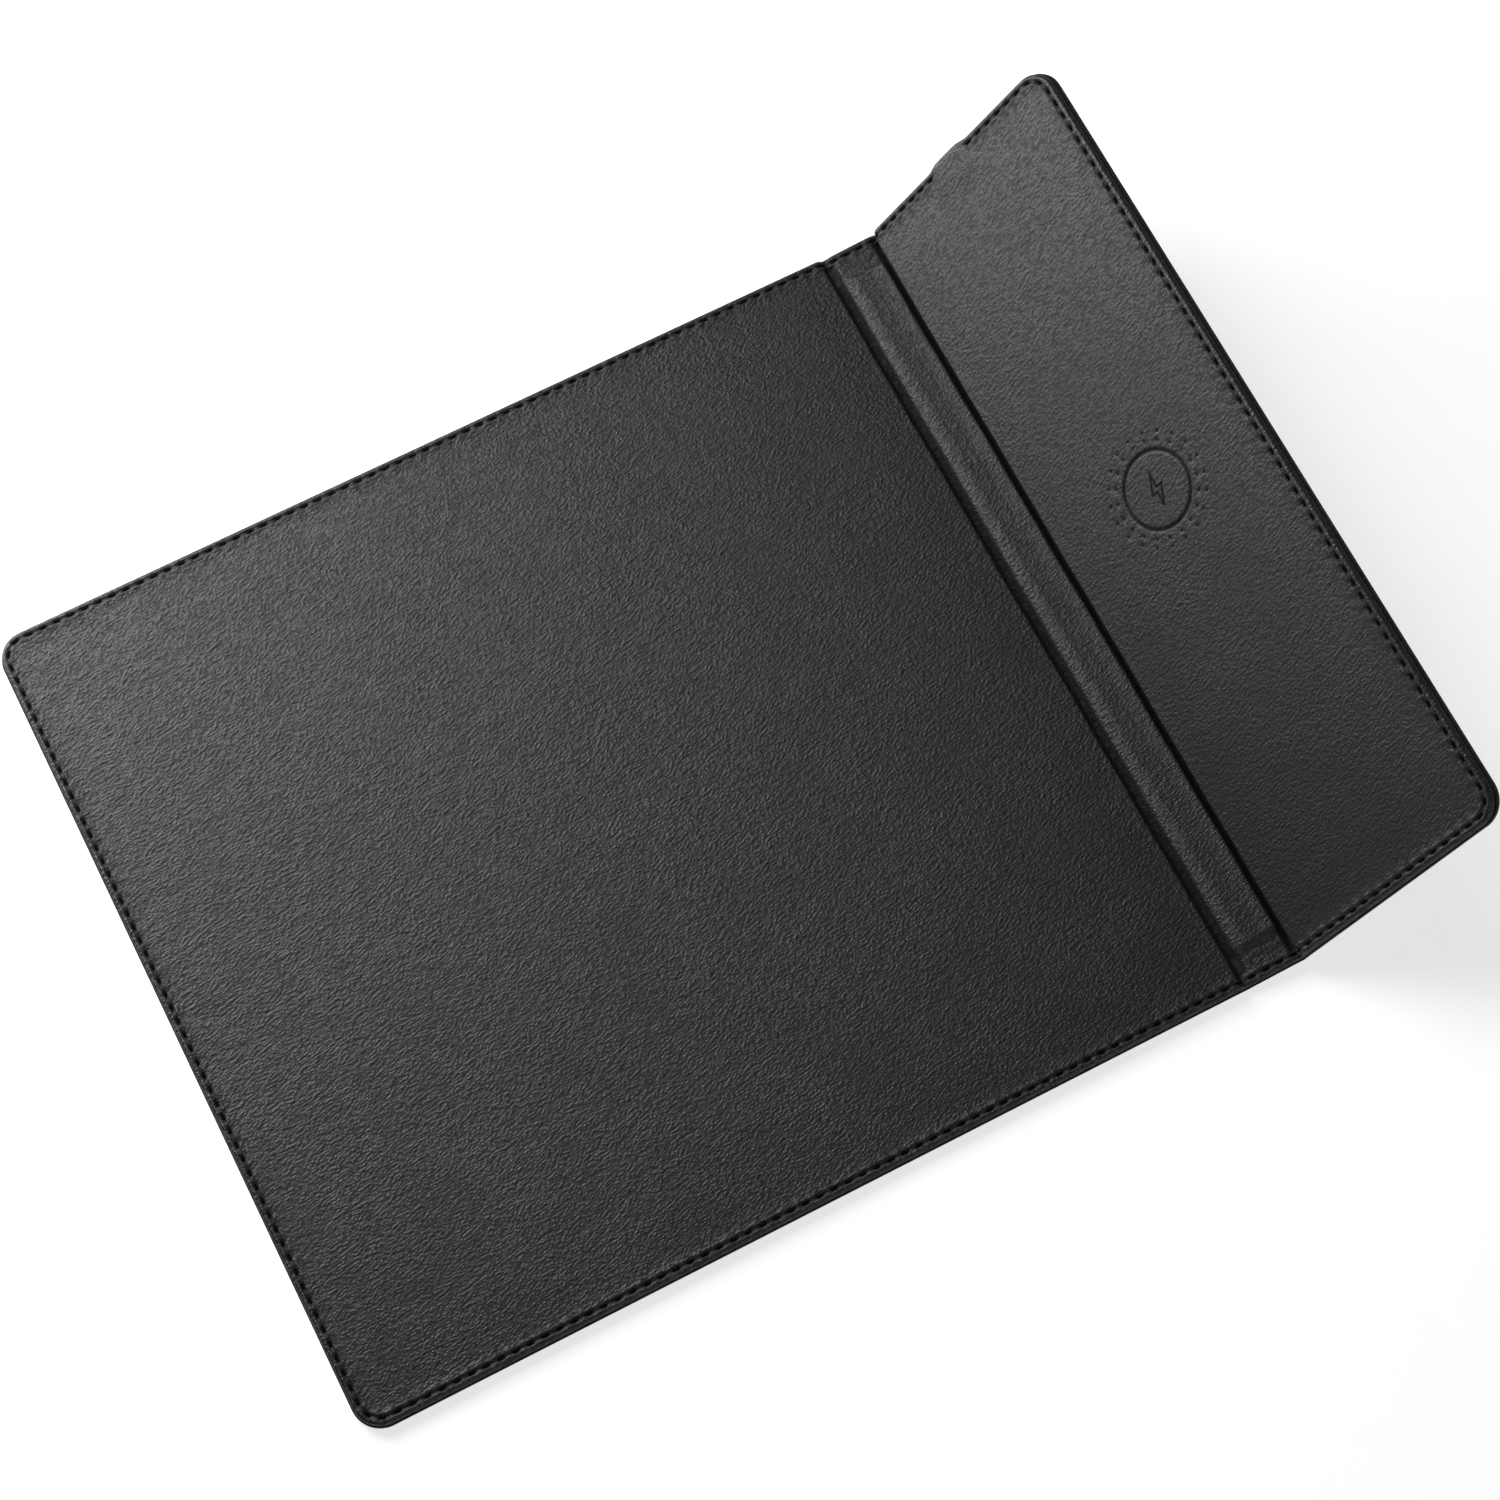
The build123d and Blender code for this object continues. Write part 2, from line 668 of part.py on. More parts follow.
def flap_top_cover():
    """Top leather of the flap, pressed with the charging mark."""
    cover = top_cover(*flap_panel(), FLAP_THICKNESS)
    bulge_low = PORT_X - PORT_BULGE_WIDTH / 2
    bulge_high = PORT_X + PORT_BULGE_WIDTH / 2
    bulge_y = HALF_WIDTH - TOP_INSET
    z_top = FLAP_THICKNESS + PORT_BULGE_HEIGHT
    z_low = FLAP_THICKNESS - LEATHER
    bulge = block(bulge_low, bulge_high, bulge_y - PORT_BULGE_DEPTH, bulge_y, z_low, z_top)
    upper = bulge.edges().filter_by_position(Axis.Z, z_top, z_top)
    bulge = fillet(upper, PORT_BULGE_ROUND)
    cover += bulge
    cover -= port_passage(PORT_CLEARANCE, SKIVED_FROM_Y)
    ring = Cylinder(MARK_RADIUS, 2 * MARK_DEPTH)
    ring -= Cylinder(MARK_RADIUS - MARK_LINE, 2 * MARK_DEPTH + OVERCUT)
    cover -= Pos(COIL_X, MARK_Y, FLAP_THICKNESS) * ring
    for dot in mark_rays():
        cover -= dot
    return cover


def flap_back_cover():
    """Base leather of the flap, skived thin under the socket."""
    cover = base_cover(*flap_panel(), FLAP_THICKNESS)
    return cover - port_passage(PORT_CLEARANCE, SKIVED_FROM_Y)


def catch_centres():
    """Places of the leg's magnets and of the steel discs that meet them."""
    x = LEG_AXIS_X - LEG_LENGTH + MAGNET_TIP_DISTANCE
    return [(x, -MAGNET_Y), (x, MAGNET_Y)]


def flap_board():
    """Stiff board around the charger module."""
    board = interior(*flap_panel(), LEATHER, FLAP_THICKNESS - LEATHER)
    board -= tray_footprint(FIT_GAP, 0, FLAP_THICKNESS)
    for x, y in catch_centres():
        pocket_radius = MAGNET_RADIUS + MAGNET_CLEARANCE
        board -= disc(x, y, pocket_radius, LEATHER - OVERCUT, LEATHER + CATCH_THICKNESS)
    return board - port_passage(PORT_BOARD_CLEARANCE, BOARD_BAY_END_Y - OVERCUT)


def catch_discs():
    """Steel discs behind the flap's back leather."""
    return [
        disc(x, y, MAGNET_RADIUS, LEATHER, LEATHER + CATCH_THICKNESS)
        for x, y in catch_centres()
    ]


def leg_hinge_strap():
    """Leather strip glued to the flap's back, from which the leg hangs."""
    x_low = LEG_AXIS_X + STRAP_OFFSET
    half = LEG_WIDTH / 2
    return block(x_low, x_low + STRAP_WIDTH, -half, half, -LEATHER, 0)


def flap_stitching():
    """The flap's seam, interrupted at the socket."""
    half = PORT_BULGE_WIDTH / 2
    y_low = HALF_WIDTH - HEM_WIDTH
    z_high = FLAP_THICKNESS + OVERCUT
    gap = block(PORT_X - half, PORT_X + half, y_low, HALF_WIDTH, -OVERCUT, z_high)
    runs = []
    for run in stitching(*flap_panel(), FLAP_THICKNESS):
        runs.extend((run - gap).solids())
    return runs


def flap_pieces():
    """The raised phone stand and the charger inside it."""
    pieces = {
        "flap_top_cover": flap_top_cover(),
        "flap_back_cover": flap_back_cover(),
        "flap_board": flap_board(),
        "flap_stitching": flap_stitching(),
        "catch_discs": catch_discs(),
        "leg_hinge_strap": leg_hinge_strap(),
        "charger_tray": charger_tray(),
        "charger_lid": charger_lid(),
        "ferrite_sheet": ferrite_sheet(),
        "charging_coil": charging_coil(),
        "coil_leads": coil_leads(),
        "thermistor": thermistor(),
        "circuit_board": circuit_board(),
        "usb_socket_shell": usb_socket_shell(),
        "usb_socket_tongue": usb_socket_tongue(),
    }
    pieces.update(board_parts())
    return pieces


# ---------- prop leg, laid folded under the flap ----------

def leg_plate(inset, z_low, z_high):
    """A flat plate of the leg, with rounded corners at its foot."""
    tip = LEG_AXIS_X - LEG_LENGTH + inset
    start = LEG_AXIS_X - LEG_START - inset
    rectangle = Rectangle(start - tip, LEG_WIDTH - 2 * inset)
    face = Pos((tip + start) / 2, 0, z_low) * rectangle
    corners = face.vertices().sort_by(Axis.X)[:2]
    return extrude(fillet(corners, LEG_CORNER - inset), amount=z_high - z_low)


def leg_pieces():
    """The stiff leather panel that folds out and stands on the desk."""
    z_board_high = LEG_INNER_Z - LEG_SKIN
    z_board_low = z_board_high - LEG_BOARD
    board = leg_plate(LEG_HEM, z_board_low, z_board_high)
    magnets = []
    for x, y in catch_centres():
        z_low = z_board_high - MAGNET_THICKNESS
        pocket_radius = MAGNET_RADIUS + MAGNET_CLEARANCE
        board -= disc(x, y, pocket_radius, z_low, z_board_high + OVERCUT)
        magnets.append(disc(x, y, MAGNET_RADIUS, z_low, z_board_high))
    rim = leg_plate(0, z_board_low, z_board_high)
    rim -= leg_plate(LEG_HEM, z_board_low - OVERCUT, z_board_high + OVERCUT)
    inner = leg_plate(LEG_INNER_INSET, z_board_high, LEG_INNER_Z)
    outer = leg_plate(0, LEG_OUTER_Z, z_board_low) + rim
    return {
        "leg_board": board,
        "leg_inner_cover": inner,
        "leg_outer_cover": outer,
        "leg_magnets": magnets,
    }


# ---------- writing ----------

def write_pieces(pieces, fold):
    """Fold each piece into place and write it as its own STEP file."""
    for name, piece in pieces.items():
        solids = []
        for item in piece if isinstance(piece, list) else [piece]:
            solids.extend(fold(item).solids())
        shape = solids[0] if len(solids) == 1 else Compound(children=solids)
        shape.label = name
        export_step(shape, os.path.join("parts", name + ".step"))


os.makedirs("parts", exist_ok=True)
write_pieces(mat_pieces(), lambda shape: shape)
write_pieces(spine_pieces(), fold_spine)
write_pieces(flap_pieces(), fold_flap)
write_pieces(leg_pieces(), fold_leg)
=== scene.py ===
import json
import math

import bmesh
import bpy
import numpy as np
from mathutils import Matrix, Vector
from mathutils.geometry import delaunay_2d_cdt


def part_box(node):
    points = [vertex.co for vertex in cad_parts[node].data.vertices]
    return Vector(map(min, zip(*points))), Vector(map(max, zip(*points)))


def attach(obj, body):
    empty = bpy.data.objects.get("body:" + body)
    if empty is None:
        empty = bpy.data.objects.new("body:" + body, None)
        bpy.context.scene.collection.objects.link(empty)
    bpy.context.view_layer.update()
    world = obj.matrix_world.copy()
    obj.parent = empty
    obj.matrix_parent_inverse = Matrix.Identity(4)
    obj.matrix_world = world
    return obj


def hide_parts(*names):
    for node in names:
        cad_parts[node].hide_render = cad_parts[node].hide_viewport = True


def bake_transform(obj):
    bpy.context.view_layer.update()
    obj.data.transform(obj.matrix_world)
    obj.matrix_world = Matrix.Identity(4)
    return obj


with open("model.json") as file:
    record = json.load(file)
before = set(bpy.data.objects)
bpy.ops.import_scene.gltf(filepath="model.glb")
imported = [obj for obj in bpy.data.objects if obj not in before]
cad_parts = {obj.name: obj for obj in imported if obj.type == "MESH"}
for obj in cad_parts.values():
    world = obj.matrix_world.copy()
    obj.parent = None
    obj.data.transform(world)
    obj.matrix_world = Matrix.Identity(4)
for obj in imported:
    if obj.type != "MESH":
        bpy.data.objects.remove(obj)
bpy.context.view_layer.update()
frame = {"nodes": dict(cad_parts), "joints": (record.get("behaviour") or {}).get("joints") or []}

# A leather desk mat whose far end folds up into a charging phone stand.
#
# The leather is modelled flat, in millimetres, the way it is cut: x from the
# mat's free edge to the flap's, y across, z up from the underside. It is then
# bent over the creases into the stand position that the frame holds.

MM = 0.001

# ---------- sizes from the frame ----------

JOINTS = {joint["name"]: joint for joint in frame["joints"]}


def joint_point(name):
    """A hinge line's x and z at rest, in millimetres."""
    x, _, z = JOINTS[name]["pos_m"]
    return np.array([x, z]) / MM


def folded_by(name):
    """How far a crease is folded at rest, in radians."""
    return math.radians(-JOINTS[name]["range_deg"][0])


MAT_LOW, MAT_HIGH = [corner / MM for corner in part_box("mat_base_cover")]
MAT_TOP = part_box("mat_top_cover")[1].z / MM
SPINE_FOLD = folded_by("mat_crease")
FLAP_FOLD = folded_by("flap_crease")
LEG_FOLD = folded_by("leg_hinge")
FLAP_TILT = SPINE_FOLD + FLAP_FOLD
HALF_WIDTH = MAT_HIGH.y
MAT_FREE_X = MAT_LOW.x
CREASE_1_X, HINGE_Z = joint_point("mat_crease")
CREASE_2_REST = joint_point("flap_crease")
LEG_AXIS_REST = joint_point("leg_hinge")
SPINE_PITCH = float(np.linalg.norm(CREASE_2_REST - joint_point("mat_crease")))
CREASE_2_X = CREASE_1_X + SPINE_PITCH

# ---------- driving sizes, millimetres ----------

LEATHER = 0.7
FLAP_LENGTH = 65.0
FLAP_TOP = 4.0
FLAP_FREE_X = CREASE_2_X + FLAP_LENGTH
SPLIT_X = (CREASE_1_X + CREASE_2_X) / 2     # the covers meet in the rib's dish
CORNER_RADIUS = 7.0
TOP_INSET = 0.3
HEM = 4.0
HEM_SHEET = 0.5
SEAM_GAP = 0.05                             # half the dark line between the sheets
STITCH_INSET = 1.95                         # from the base sheet's edge
STITCH_PITCH = 3.6
STITCH_LENGTH = 2.2
THREAD_HALF_WIDTH = 0.4
THREAD_HALF_HEIGHT = 0.2
COLUMNS_PER_STITCH = 9
SHEET = 0.65                                # a sheet's own thickness
ROLL_WIDTH = 1.05                           # rounding of a turned-in edge
ROLL_DROP = 0.82
ROLL_STEPS = 7
FACE_START = 1.5                            # from the stitches to the plain face
STRIP_END = STITCH_INSET + FACE_START
THREAD_SUNK = 0.34
THREAD_DIVE = 0.35
BEND_HALF = 1.6                             # half the width that bends at a crease
RIB_END_INSET = 9.0
RIB_LIP = 0.42                              # the stop that a phone stands against
SPINE_TOP = 3.5
SPINE_END_TOP = 2.7
RIM_DIP = 2.3                               # the stitched rim where it crosses a crease

LEG_HINGE_U = 57.0
LEG_AXIS_X = CREASE_2_X + LEG_HINGE_U
LEG_AXIS_Z = -LEATHER / 2
LEG_LOW = -2.3
LEG_THICK = 2.0
LEG_START = 1.3
LEG_LENGTH = 43.2
LEG_HALF_WIDTH = 82.0
LEG_CORNER = 6.0
STRAP_START = 0.5
STRAP_WIDTH = 6.0

MARK_U = 32.8
MARK_X = CREASE_2_X + MARK_U
MARK_Y = 3.9
MARK_RADIUS = 9.35
MARK_LINE = 0.6
MARK_DEPTH = 0.28
RAY_RADII = (11.6, 13.7)
RAY_COUNT = 20
DOT_RADIUS = 0.4
BOLT = [(0.5, 4.1), (-1.9, -0.6), (-0.2, -0.6), (-0.5, -4.1), (1.9, 0.6), (0.2, 0.6)]
BOLT_LINE = 0.34

PORT_X = CREASE_2_X + 30.5
PORT_Z = 2.0
PORT_HALF_WIDTH = 4.75
PORT_HALF_HEIGHT = 1.68
BULGE_HALF_WIDTH = 5.8
BULGE_HEIGHT = 0.4
BULGE_DEPTH = 9.0
BULGE_OUT = 0.5


# ---------- folding ----------

def smooth(t):
    """0 before 0, 1 after 1, and a smooth rise between."""
    t = np.clip(t, 0, 1)
    return t * t * (3 - 2 * t)


def bell(t):
    """1 at 0, falling smoothly to nothing at about 2."""
    return np.exp(-t * t)


def turn(points, x, z, angle):
    """Turn points about a line along Y; a positive angle lifts the +X side."""
    dx, dz = points[:, 0] - x, points[:, 2] - z
    c, s = np.cos(angle), np.sin(angle)
    return np.column_stack([x + dx * c - dz * s, points[:, 1], z + dx * s + dz * c])


def fold(points):
    """Flat leather to the stand position, bending over the two creases."""
    x = points[:, 0]
    reach = 2 * BEND_HALF
    over_1 = smooth((x - CREASE_1_X + BEND_HALF) / reach)
    over_2 = smooth((x - CREASE_2_X + BEND_HALF) / reach)
    bent = turn(points, CREASE_2_X, HINGE_Z, FLAP_FOLD * over_2)
    return turn(bent, CREASE_1_X, HINGE_Z, SPINE_FOLD * over_1)


def fold_leg(points):
    """The leg laid flat under the flap to the stand position."""
    return fold(turn(points, LEG_AXIS_X, LEG_AXIS_Z, LEG_FOLD))


def fold_strap(points):
    """The hinge strap, bending over the leg's axis."""
    over = smooth((LEG_AXIS_X + 0.9 - points[:, 0]) / 1.8)
    return fold(turn(points, LEG_AXIS_X, LEG_AXIS_Z, LEG_FOLD * over))


# ---------- mesh helpers ----------

def add_mesh(name, flat, faces, folder, material, layers=None, sharp=50.0):
    """Fold flat millimetre points, and make an object that keeps them as 'flat'."""
    mesh = bpy.data.meshes.new(name)
    mesh.from_pydata((folder(flat) * MM).tolist(), [], faces)
    shell = bmesh.new()
    shell.from_mesh(mesh)
    bmesh.ops.recalc_face_normals(shell, faces=shell.faces)
    shell.to_mesh(mesh)
    shell.free()
    attribute = mesh.attributes.new("flat", "FLOAT_VECTOR", "POINT")
    attribute.data.foreach_set("vector", flat.astype(np.float32).ravel())
    for key, values in (layers or {}).items():
        layer = mesh.attributes.new(key, "FLOAT", "POINT")
        layer.data.foreach_set("value", np.asarray(values, np.float32))
    mesh.shade_smooth()
    mesh.set_sharp_from_angle(angle=math.radians(sharp))
    mesh.materials.append(material)
    thing = bpy.data.objects.new(name, mesh)
    bpy.context.scene.collection.objects.link(thing)
    return thing


def strip_faces(rows, columns, start):
    """Quads of a grid whose vertices run column by column."""
    corners = (0, rows, rows + 1, 1)
    return [
        tuple(start + c * rows + r + corner for corner in corners)
        for c in range(columns - 1)
        for r in range(rows - 1)
    ]


def fill(loop_xy, inner_xy, names):
    """Triangles over a closed outline and the points inside it."""
    count = len(loop_xy)
    edges = [(i, (i + 1) % count) for i in range(count)]
    points = [Vector(p) for p in np.vstack([loop_xy, inner_xy]).tolist()]
    made = delaunay_2d_cdt(points, edges, [], 1, 1e-7)
    origins = [source[0] for source in made[3]]
    return [tuple(names[origins[i]] for i in face) for face in made[2]]


def bridge(first, second, points):
    """Triangles between two lines of vertices that run side by side."""
    def shares(line):
        steps = np.linalg.norm(np.diff(points[line], axis=0), axis=1)
        return np.concatenate([[0], np.cumsum(steps) / steps.sum()])

    share_1, share_2 = shares(first), shares(second)
    faces = []
    i = j = 0
    while i < len(first) - 1 or j < len(second) - 1:
        ahead_1 = share_1[i + 1] if i < len(first) - 1 else 2
        ahead_2 = share_2[j + 1] if j < len(second) - 1 else 2
        if ahead_1 <= ahead_2:
            faces.append((first[i], first[i + 1], second[j]))
            i += 1
        else:
            faces.append((first[i], second[j + 1], second[j]))
            j += 1
    return faces


def lines(low, high, spacing, fine=(), fine_spacing=0.28):
    """Coordinates between low and high, closer together inside the fine spans."""
    values = [low]
    while values[-1] < high:
        at = values[-1]
        step = spacing
        for start, end in fine:
            if start - 0.01 <= at < end:
                step = fine_spacing
            elif at < start < at + step:
                step = start - at
        values.append(at + step)
    return np.array(values[1:-1])


def grid(xs, ys):
    """Every pairing of the two sets of coordinates, as flat points."""
    return np.stack(np.meshgrid(xs, ys), -1).reshape(-1, 2)


# ---------- the height of the leather ----------

def rounded_profile(knots):
    """A height along x through (x, height) knots, with its corners rounded."""
    knots = np.array(knots)
    step, spread = 0.05, 0.24
    x = np.arange(knots[0, 0] - 5, knots[-1, 0] + 5, step)
    height = np.interp(x, knots[:, 0], knots[:, 1])
    reach = np.arange(-24, 25) * step
    kernel = np.exp(-0.5 * (reach / spread) ** 2)
    kernel /= kernel.sum()
    padded = np.pad(height, 24, mode="edge")
    rounded = np.convolve(padded, kernel, mode="valid")
    return lambda at: np.interp(at, x, rounded)


FLOOR_TOP = 2 * LEATHER + 0.03
SPINE_MIDDLE = SPLIT_X
TOP_OVER_RIB = rounded_profile([
    (CREASE_1_X - 20, MAT_TOP),
    (CREASE_1_X - 1.5, MAT_TOP),
    (CREASE_1_X - 0.75, FLOOR_TOP),
    (CREASE_1_X + 0.8, FLOOR_TOP),
    (CREASE_1_X + 1.35, SPINE_TOP - 0.85),
    (CREASE_1_X + 2.3, SPINE_TOP - 0.4),
    (CREASE_1_X + 3.4, SPINE_TOP - 0.08),
    (CREASE_1_X + 4.6, SPINE_TOP + 0.06),
    (CREASE_1_X + 6.4, SPINE_TOP),
    (CREASE_1_X + 8.4, SPINE_TOP),
    (CREASE_1_X + 9.8, SPINE_TOP + RIB_LIP * 0.3),
    (CREASE_2_X - 3.0, SPINE_TOP + RIB_LIP),
    (CREASE_2_X - 2.5, SPINE_TOP + RIB_LIP * 0.6),
    (CREASE_2_X - 1.4, FLOOR_TOP),
    (CREASE_2_X + 0.35, FLOOR_TOP),
    (CREASE_2_X + 1.15, FLAP_TOP),
    (CREASE_2_X + 20, FLAP_TOP),
])
TOP_PAST_RIB = rounded_profile([
    (CREASE_1_X - 20, MAT_TOP),
    (CREASE_1_X - 1.5, MAT_TOP),
    (CREASE_1_X - 0.75, FLOOR_TOP),
    (CREASE_1_X + 0.8, FLOOR_TOP),
    (CREASE_1_X + 2.2, SPINE_END_TOP),
    (CREASE_2_X - 2.6, SPINE_END_TOP),
    (CREASE_2_X - 1.3, FLOOR_TOP),
    (CREASE_2_X + 0.35, FLOOR_TOP),
    (CREASE_2_X + 1.3, FLAP_TOP),
    (CREASE_2_X + 20, FLAP_TOP),
])
TOP_AT_RIM = rounded_profile([
    (CREASE_1_X - 20, MAT_TOP),
    (CREASE_1_X - 1.9, MAT_TOP),
    (CREASE_1_X - 0.5, RIM_DIP),
    (CREASE_1_X + 0.5, RIM_DIP),
    (CREASE_1_X + 2.2, SPINE_END_TOP),
    (CREASE_2_X - 2.6, SPINE_END_TOP),
    (CREASE_2_X - 0.5, RIM_DIP),
    (CREASE_2_X + 0.3, RIM_DIP),
    (CREASE_2_X + 2.3, FLAP_TOP),
    (CREASE_2_X + 20, FLAP_TOP),
])
SEAM_HEIGHT = rounded_profile([
    (CREASE_1_X - 20, MAT_TOP / 2),
    (CREASE_1_X - 2.2, MAT_TOP / 2),
    (CREASE_1_X - 0.7, RIM_DIP / 2),
    (CREASE_1_X + 0.7, RIM_DIP / 2),
    (CREASE_1_X + 2.2, 2 * LEATHER),
    (CREASE_2_X - 2.6, 2 * LEATHER),
    (CREASE_2_X - 0.7, RIM_DIP / 2),
    (CREASE_2_X + 0.6, RIM_DIP / 2),
    (CREASE_2_X + 2.6, FLAP_TOP / 2),
    (CREASE_2_X + 20, FLAP_TOP / 2),
])


def ripple(a, b, seed):
    """Slow uneven waves between -1 and 1, the same every run."""
    value = np.zeros_like(a)
    for k in range(5):
        angle = seed * 1.7 + k * 2.4
        length = 9.0 * 1.7 ** k
        along = (a * math.cos(angle) + b * math.sin(angle)) / length
        value += np.sin(2 * math.pi * along + seed * 3.1 + k * k) * (0.35 + 0.12 * k)
    return value / 3


def past_rib(y):
    """0 over the rib and 1 beyond its ends."""
    rib_end = HALF_WIDTH - RIB_END_INSET
    return smooth((np.abs(y) - rib_end + 0.6) / 2.4)


def over_port(x, y):
    """1 where the leather stands up over the socket, fading to 0 around it."""
    across = smooth((BULGE_HALF_WIDTH + 1.6 - np.abs(x - PORT_X)) / 3.8)
    back = smooth((y - HALF_WIDTH + BULGE_DEPTH + 1.5) / 4.0)
    return across * back


def bolt_distance(x, y):
    """Signed distance to the lightning bolt's outline, negative inside."""
    # the mark stands upright along Y, its top towards -Y's left in the folded stand
    p = np.column_stack([y - MARK_Y, x - MARK_X])
    shape = np.array(BOLT)[:, ::-1]
    best = np.full(len(p), np.inf)
    inside = np.zeros(len(p), bool)
    for a, b in zip(shape, np.roll(shape, -1, axis=0)):
        edge = b - a
        t = np.clip(((p - a) @ edge) / (edge @ edge), 0, 1)
        best = np.minimum(best, np.linalg.norm(p - a - t[:, None] * edge, axis=1))
        crosses = (a[1] > p[:, 1]) != (b[1] > p[:, 1])
        with np.errstate(divide="ignore", invalid="ignore"):
            at = a[0] + (p[:, 1] - a[1]) * edge[0] / edge[1]
        inside ^= crosses & (p[:, 0] < at)
    return np.where(inside, -best, best)


def mark_press(x, y):
    """How deep the charging mark is pressed, from 0 to 1."""
    radius = np.hypot(x - MARK_X, y - MARK_Y)
    press = smooth(1.35 - np.abs(radius - MARK_RADIUS) / (MARK_LINE / 2) * 0.75)
    for ring in RAY_RADII:
        for ray in range(RAY_COUNT):
            angle = math.radians(360 / RAY_COUNT * ray)
            far = np.hypot(
                x - MARK_X - ring * math.cos(angle), y - MARK_Y - ring * math.sin(angle)
            )
            press = np.maximum(press, smooth((DOT_RADIUS + 0.09 - far) / 0.17))
    near = radius < MARK_RADIUS - 1.5
    if near.any():
        bolt = np.zeros_like(press)
        bolt[near] = smooth(1.3 - np.abs(bolt_distance(x[near], y[near])) / (BOLT_LINE / 2) * 0.7)
        press = np.maximum(press, bolt)
    return press


def top_height(x, y):
    """Height of the top leather's outer face."""
    shifted = x + 0.1 * np.sin(y / 5.3) * np.sin(y / 11.9 + 1.0)
    past = past_rib(y)
    height = TOP_OVER_RIB(shifted) * (1 - past) + TOP_PAST_RIB(shifted) * past
    rim = smooth((np.abs(y) - HALF_WIDTH + 3.7) / 1.7)
    height = height * (1 - rim) + TOP_AT_RIM(x) * rim
    height = height + BULGE_HEIGHT * over_port(x, y)
    return height


def top_detail(x, y):
    """Padding and slackness that show away from the seams."""
    away = smooth((HALF_WIDTH - STRIP_END - np.abs(y)) / 12)
    free = np.minimum(x - MAT_FREE_X, FLAP_FREE_X - x)
    away = away * smooth((free - STRIP_END) / 12)
    crease = np.minimum(np.abs(x - CREASE_1_X), np.abs(x - CREASE_2_X))
    slack = smooth((crease - 3.5) / 8)
    wave = ripple(x, y, 1.0) * 0.05 * slack
    wrinkle = np.sin(y * 2.1 + 1.3 * np.sin(x * 0.9) + 2 * np.sin(y * 0.37))
    spine = smooth((x - CREASE_1_X - 1.5) / 2) * smooth((CREASE_2_X - 1.5 - x) / 2)
    ends = past_rib(y) * smooth((HALF_WIDTH - STRIP_END - np.abs(y)) / 2)
    return away * (0.12 * slack + wave) + 0.07 * wrinkle * spine * ends


# ---------- a leather sheet with turned-in, stitched edges ----------

class Panel:
    """One panel's three hemmed sides, as a path from the split round to the split."""

    def __init__(self, free_x, split_x, half_width, corner, pitch=STITCH_PITCH):
        self.sense = 1 if free_x > split_x else -1
        self.split_x = split_x
        self.length = abs(free_x - split_x)
        self.half_width = half_width
        self.corner = corner
        straight = self.length - corner
        radius = corner - STITCH_INSET
        side = 2 * (half_width - corner)
        arc = math.pi / 2 * radius
        total = 2 * straight + 2 * arc + side
        self.stitches = max(1, round(total / pitch))
        self.pitch = total / self.stitches
        self.ends = np.cumsum([straight, arc, side, arc, straight])
        self.total = total

    def at(self, along):
        """Points on the base sheet's edge and their inward directions.

        along is measured on the stitch line. Local axes: p from the split
        towards the free edge, q across.
        """
        along = np.asarray(along, float)
        p = np.empty_like(along)
        q = np.empty_like(along)
        inward_p = np.zeros_like(along)
        inward_q = np.zeros_like(along)
        r = self.corner
        w = self.half_width
        centre_p = self.length - r
        leg = np.searchsorted(self.ends, along, side="left").clip(0, 4)
        start = np.concatenate([[0], self.ends[:-1]])[leg]
        local = along - start
        angle = local / (r - STITCH_INSET)
        first, last = leg == 0, leg == 4
        p[first], q[first], inward_q[first] = local[first], -w, 1
        p[last], q[last], inward_q[last] = centre_p - local[last], w, -1
        end = leg == 2
        p[end], q[end], inward_p[end] = self.length, -w + r + local[end], -1
        for turn_leg, centre_q, phase in ((1, -w + r, -math.pi / 2), (3, w - r, 0.0)):
            on = leg == turn_leg
            direction = phase + angle[on]
            p[on] = centre_p + r * np.cos(direction)
            q[on] = centre_q + r * np.sin(direction)
            inward_p[on] = -np.cos(direction)
            inward_q[on] = -np.sin(direction)
        return p, q, inward_p, inward_q

    def world(self, p, q):
        """Local axes to flat x and y."""
        return self.split_x + self.sense * p, -self.sense * q

    def place(self, along, inset):
        """Flat x and y at a distance along the seam and in from the edge."""
        p, q, inward_p, inward_q = self.at(along)
        return self.world(p + inward_p * inset, q + inward_q * inset)


def edge_rows(stitch):
    """Outer face of a hemmed edge, from under the hem to past the stitches.

    Rows near the seam are (inset, lift above the seam, None); rows on the
    rolled edge and the face are (inset, None, drop below the face).
    """
    rows = [(HEM - 0.4, 0.0, None), (1.2, 0.0, None), (0.45, 0.0, None)]
    rows += [(0.16, 0.07, None), (0.04, 0.2, None), (0.0, 0.36, None)]
    for step in range(1, ROLL_STEPS + 1):
        angle = math.pi / 2 * (1 - step / (ROLL_STEPS + 0.5))
        inset = ROLL_WIDTH * (1 - math.sin(angle))
        rows.append((inset, None, ROLL_DROP * (1 - math.cos(angle))))
    for offset in (-0.62, -0.48, -0.3, 0.0, 0.3, 0.48, 0.66, 0.85, 1.12, FACE_START):
        rows.append((stitch + offset, None, 0.0))
    return rows


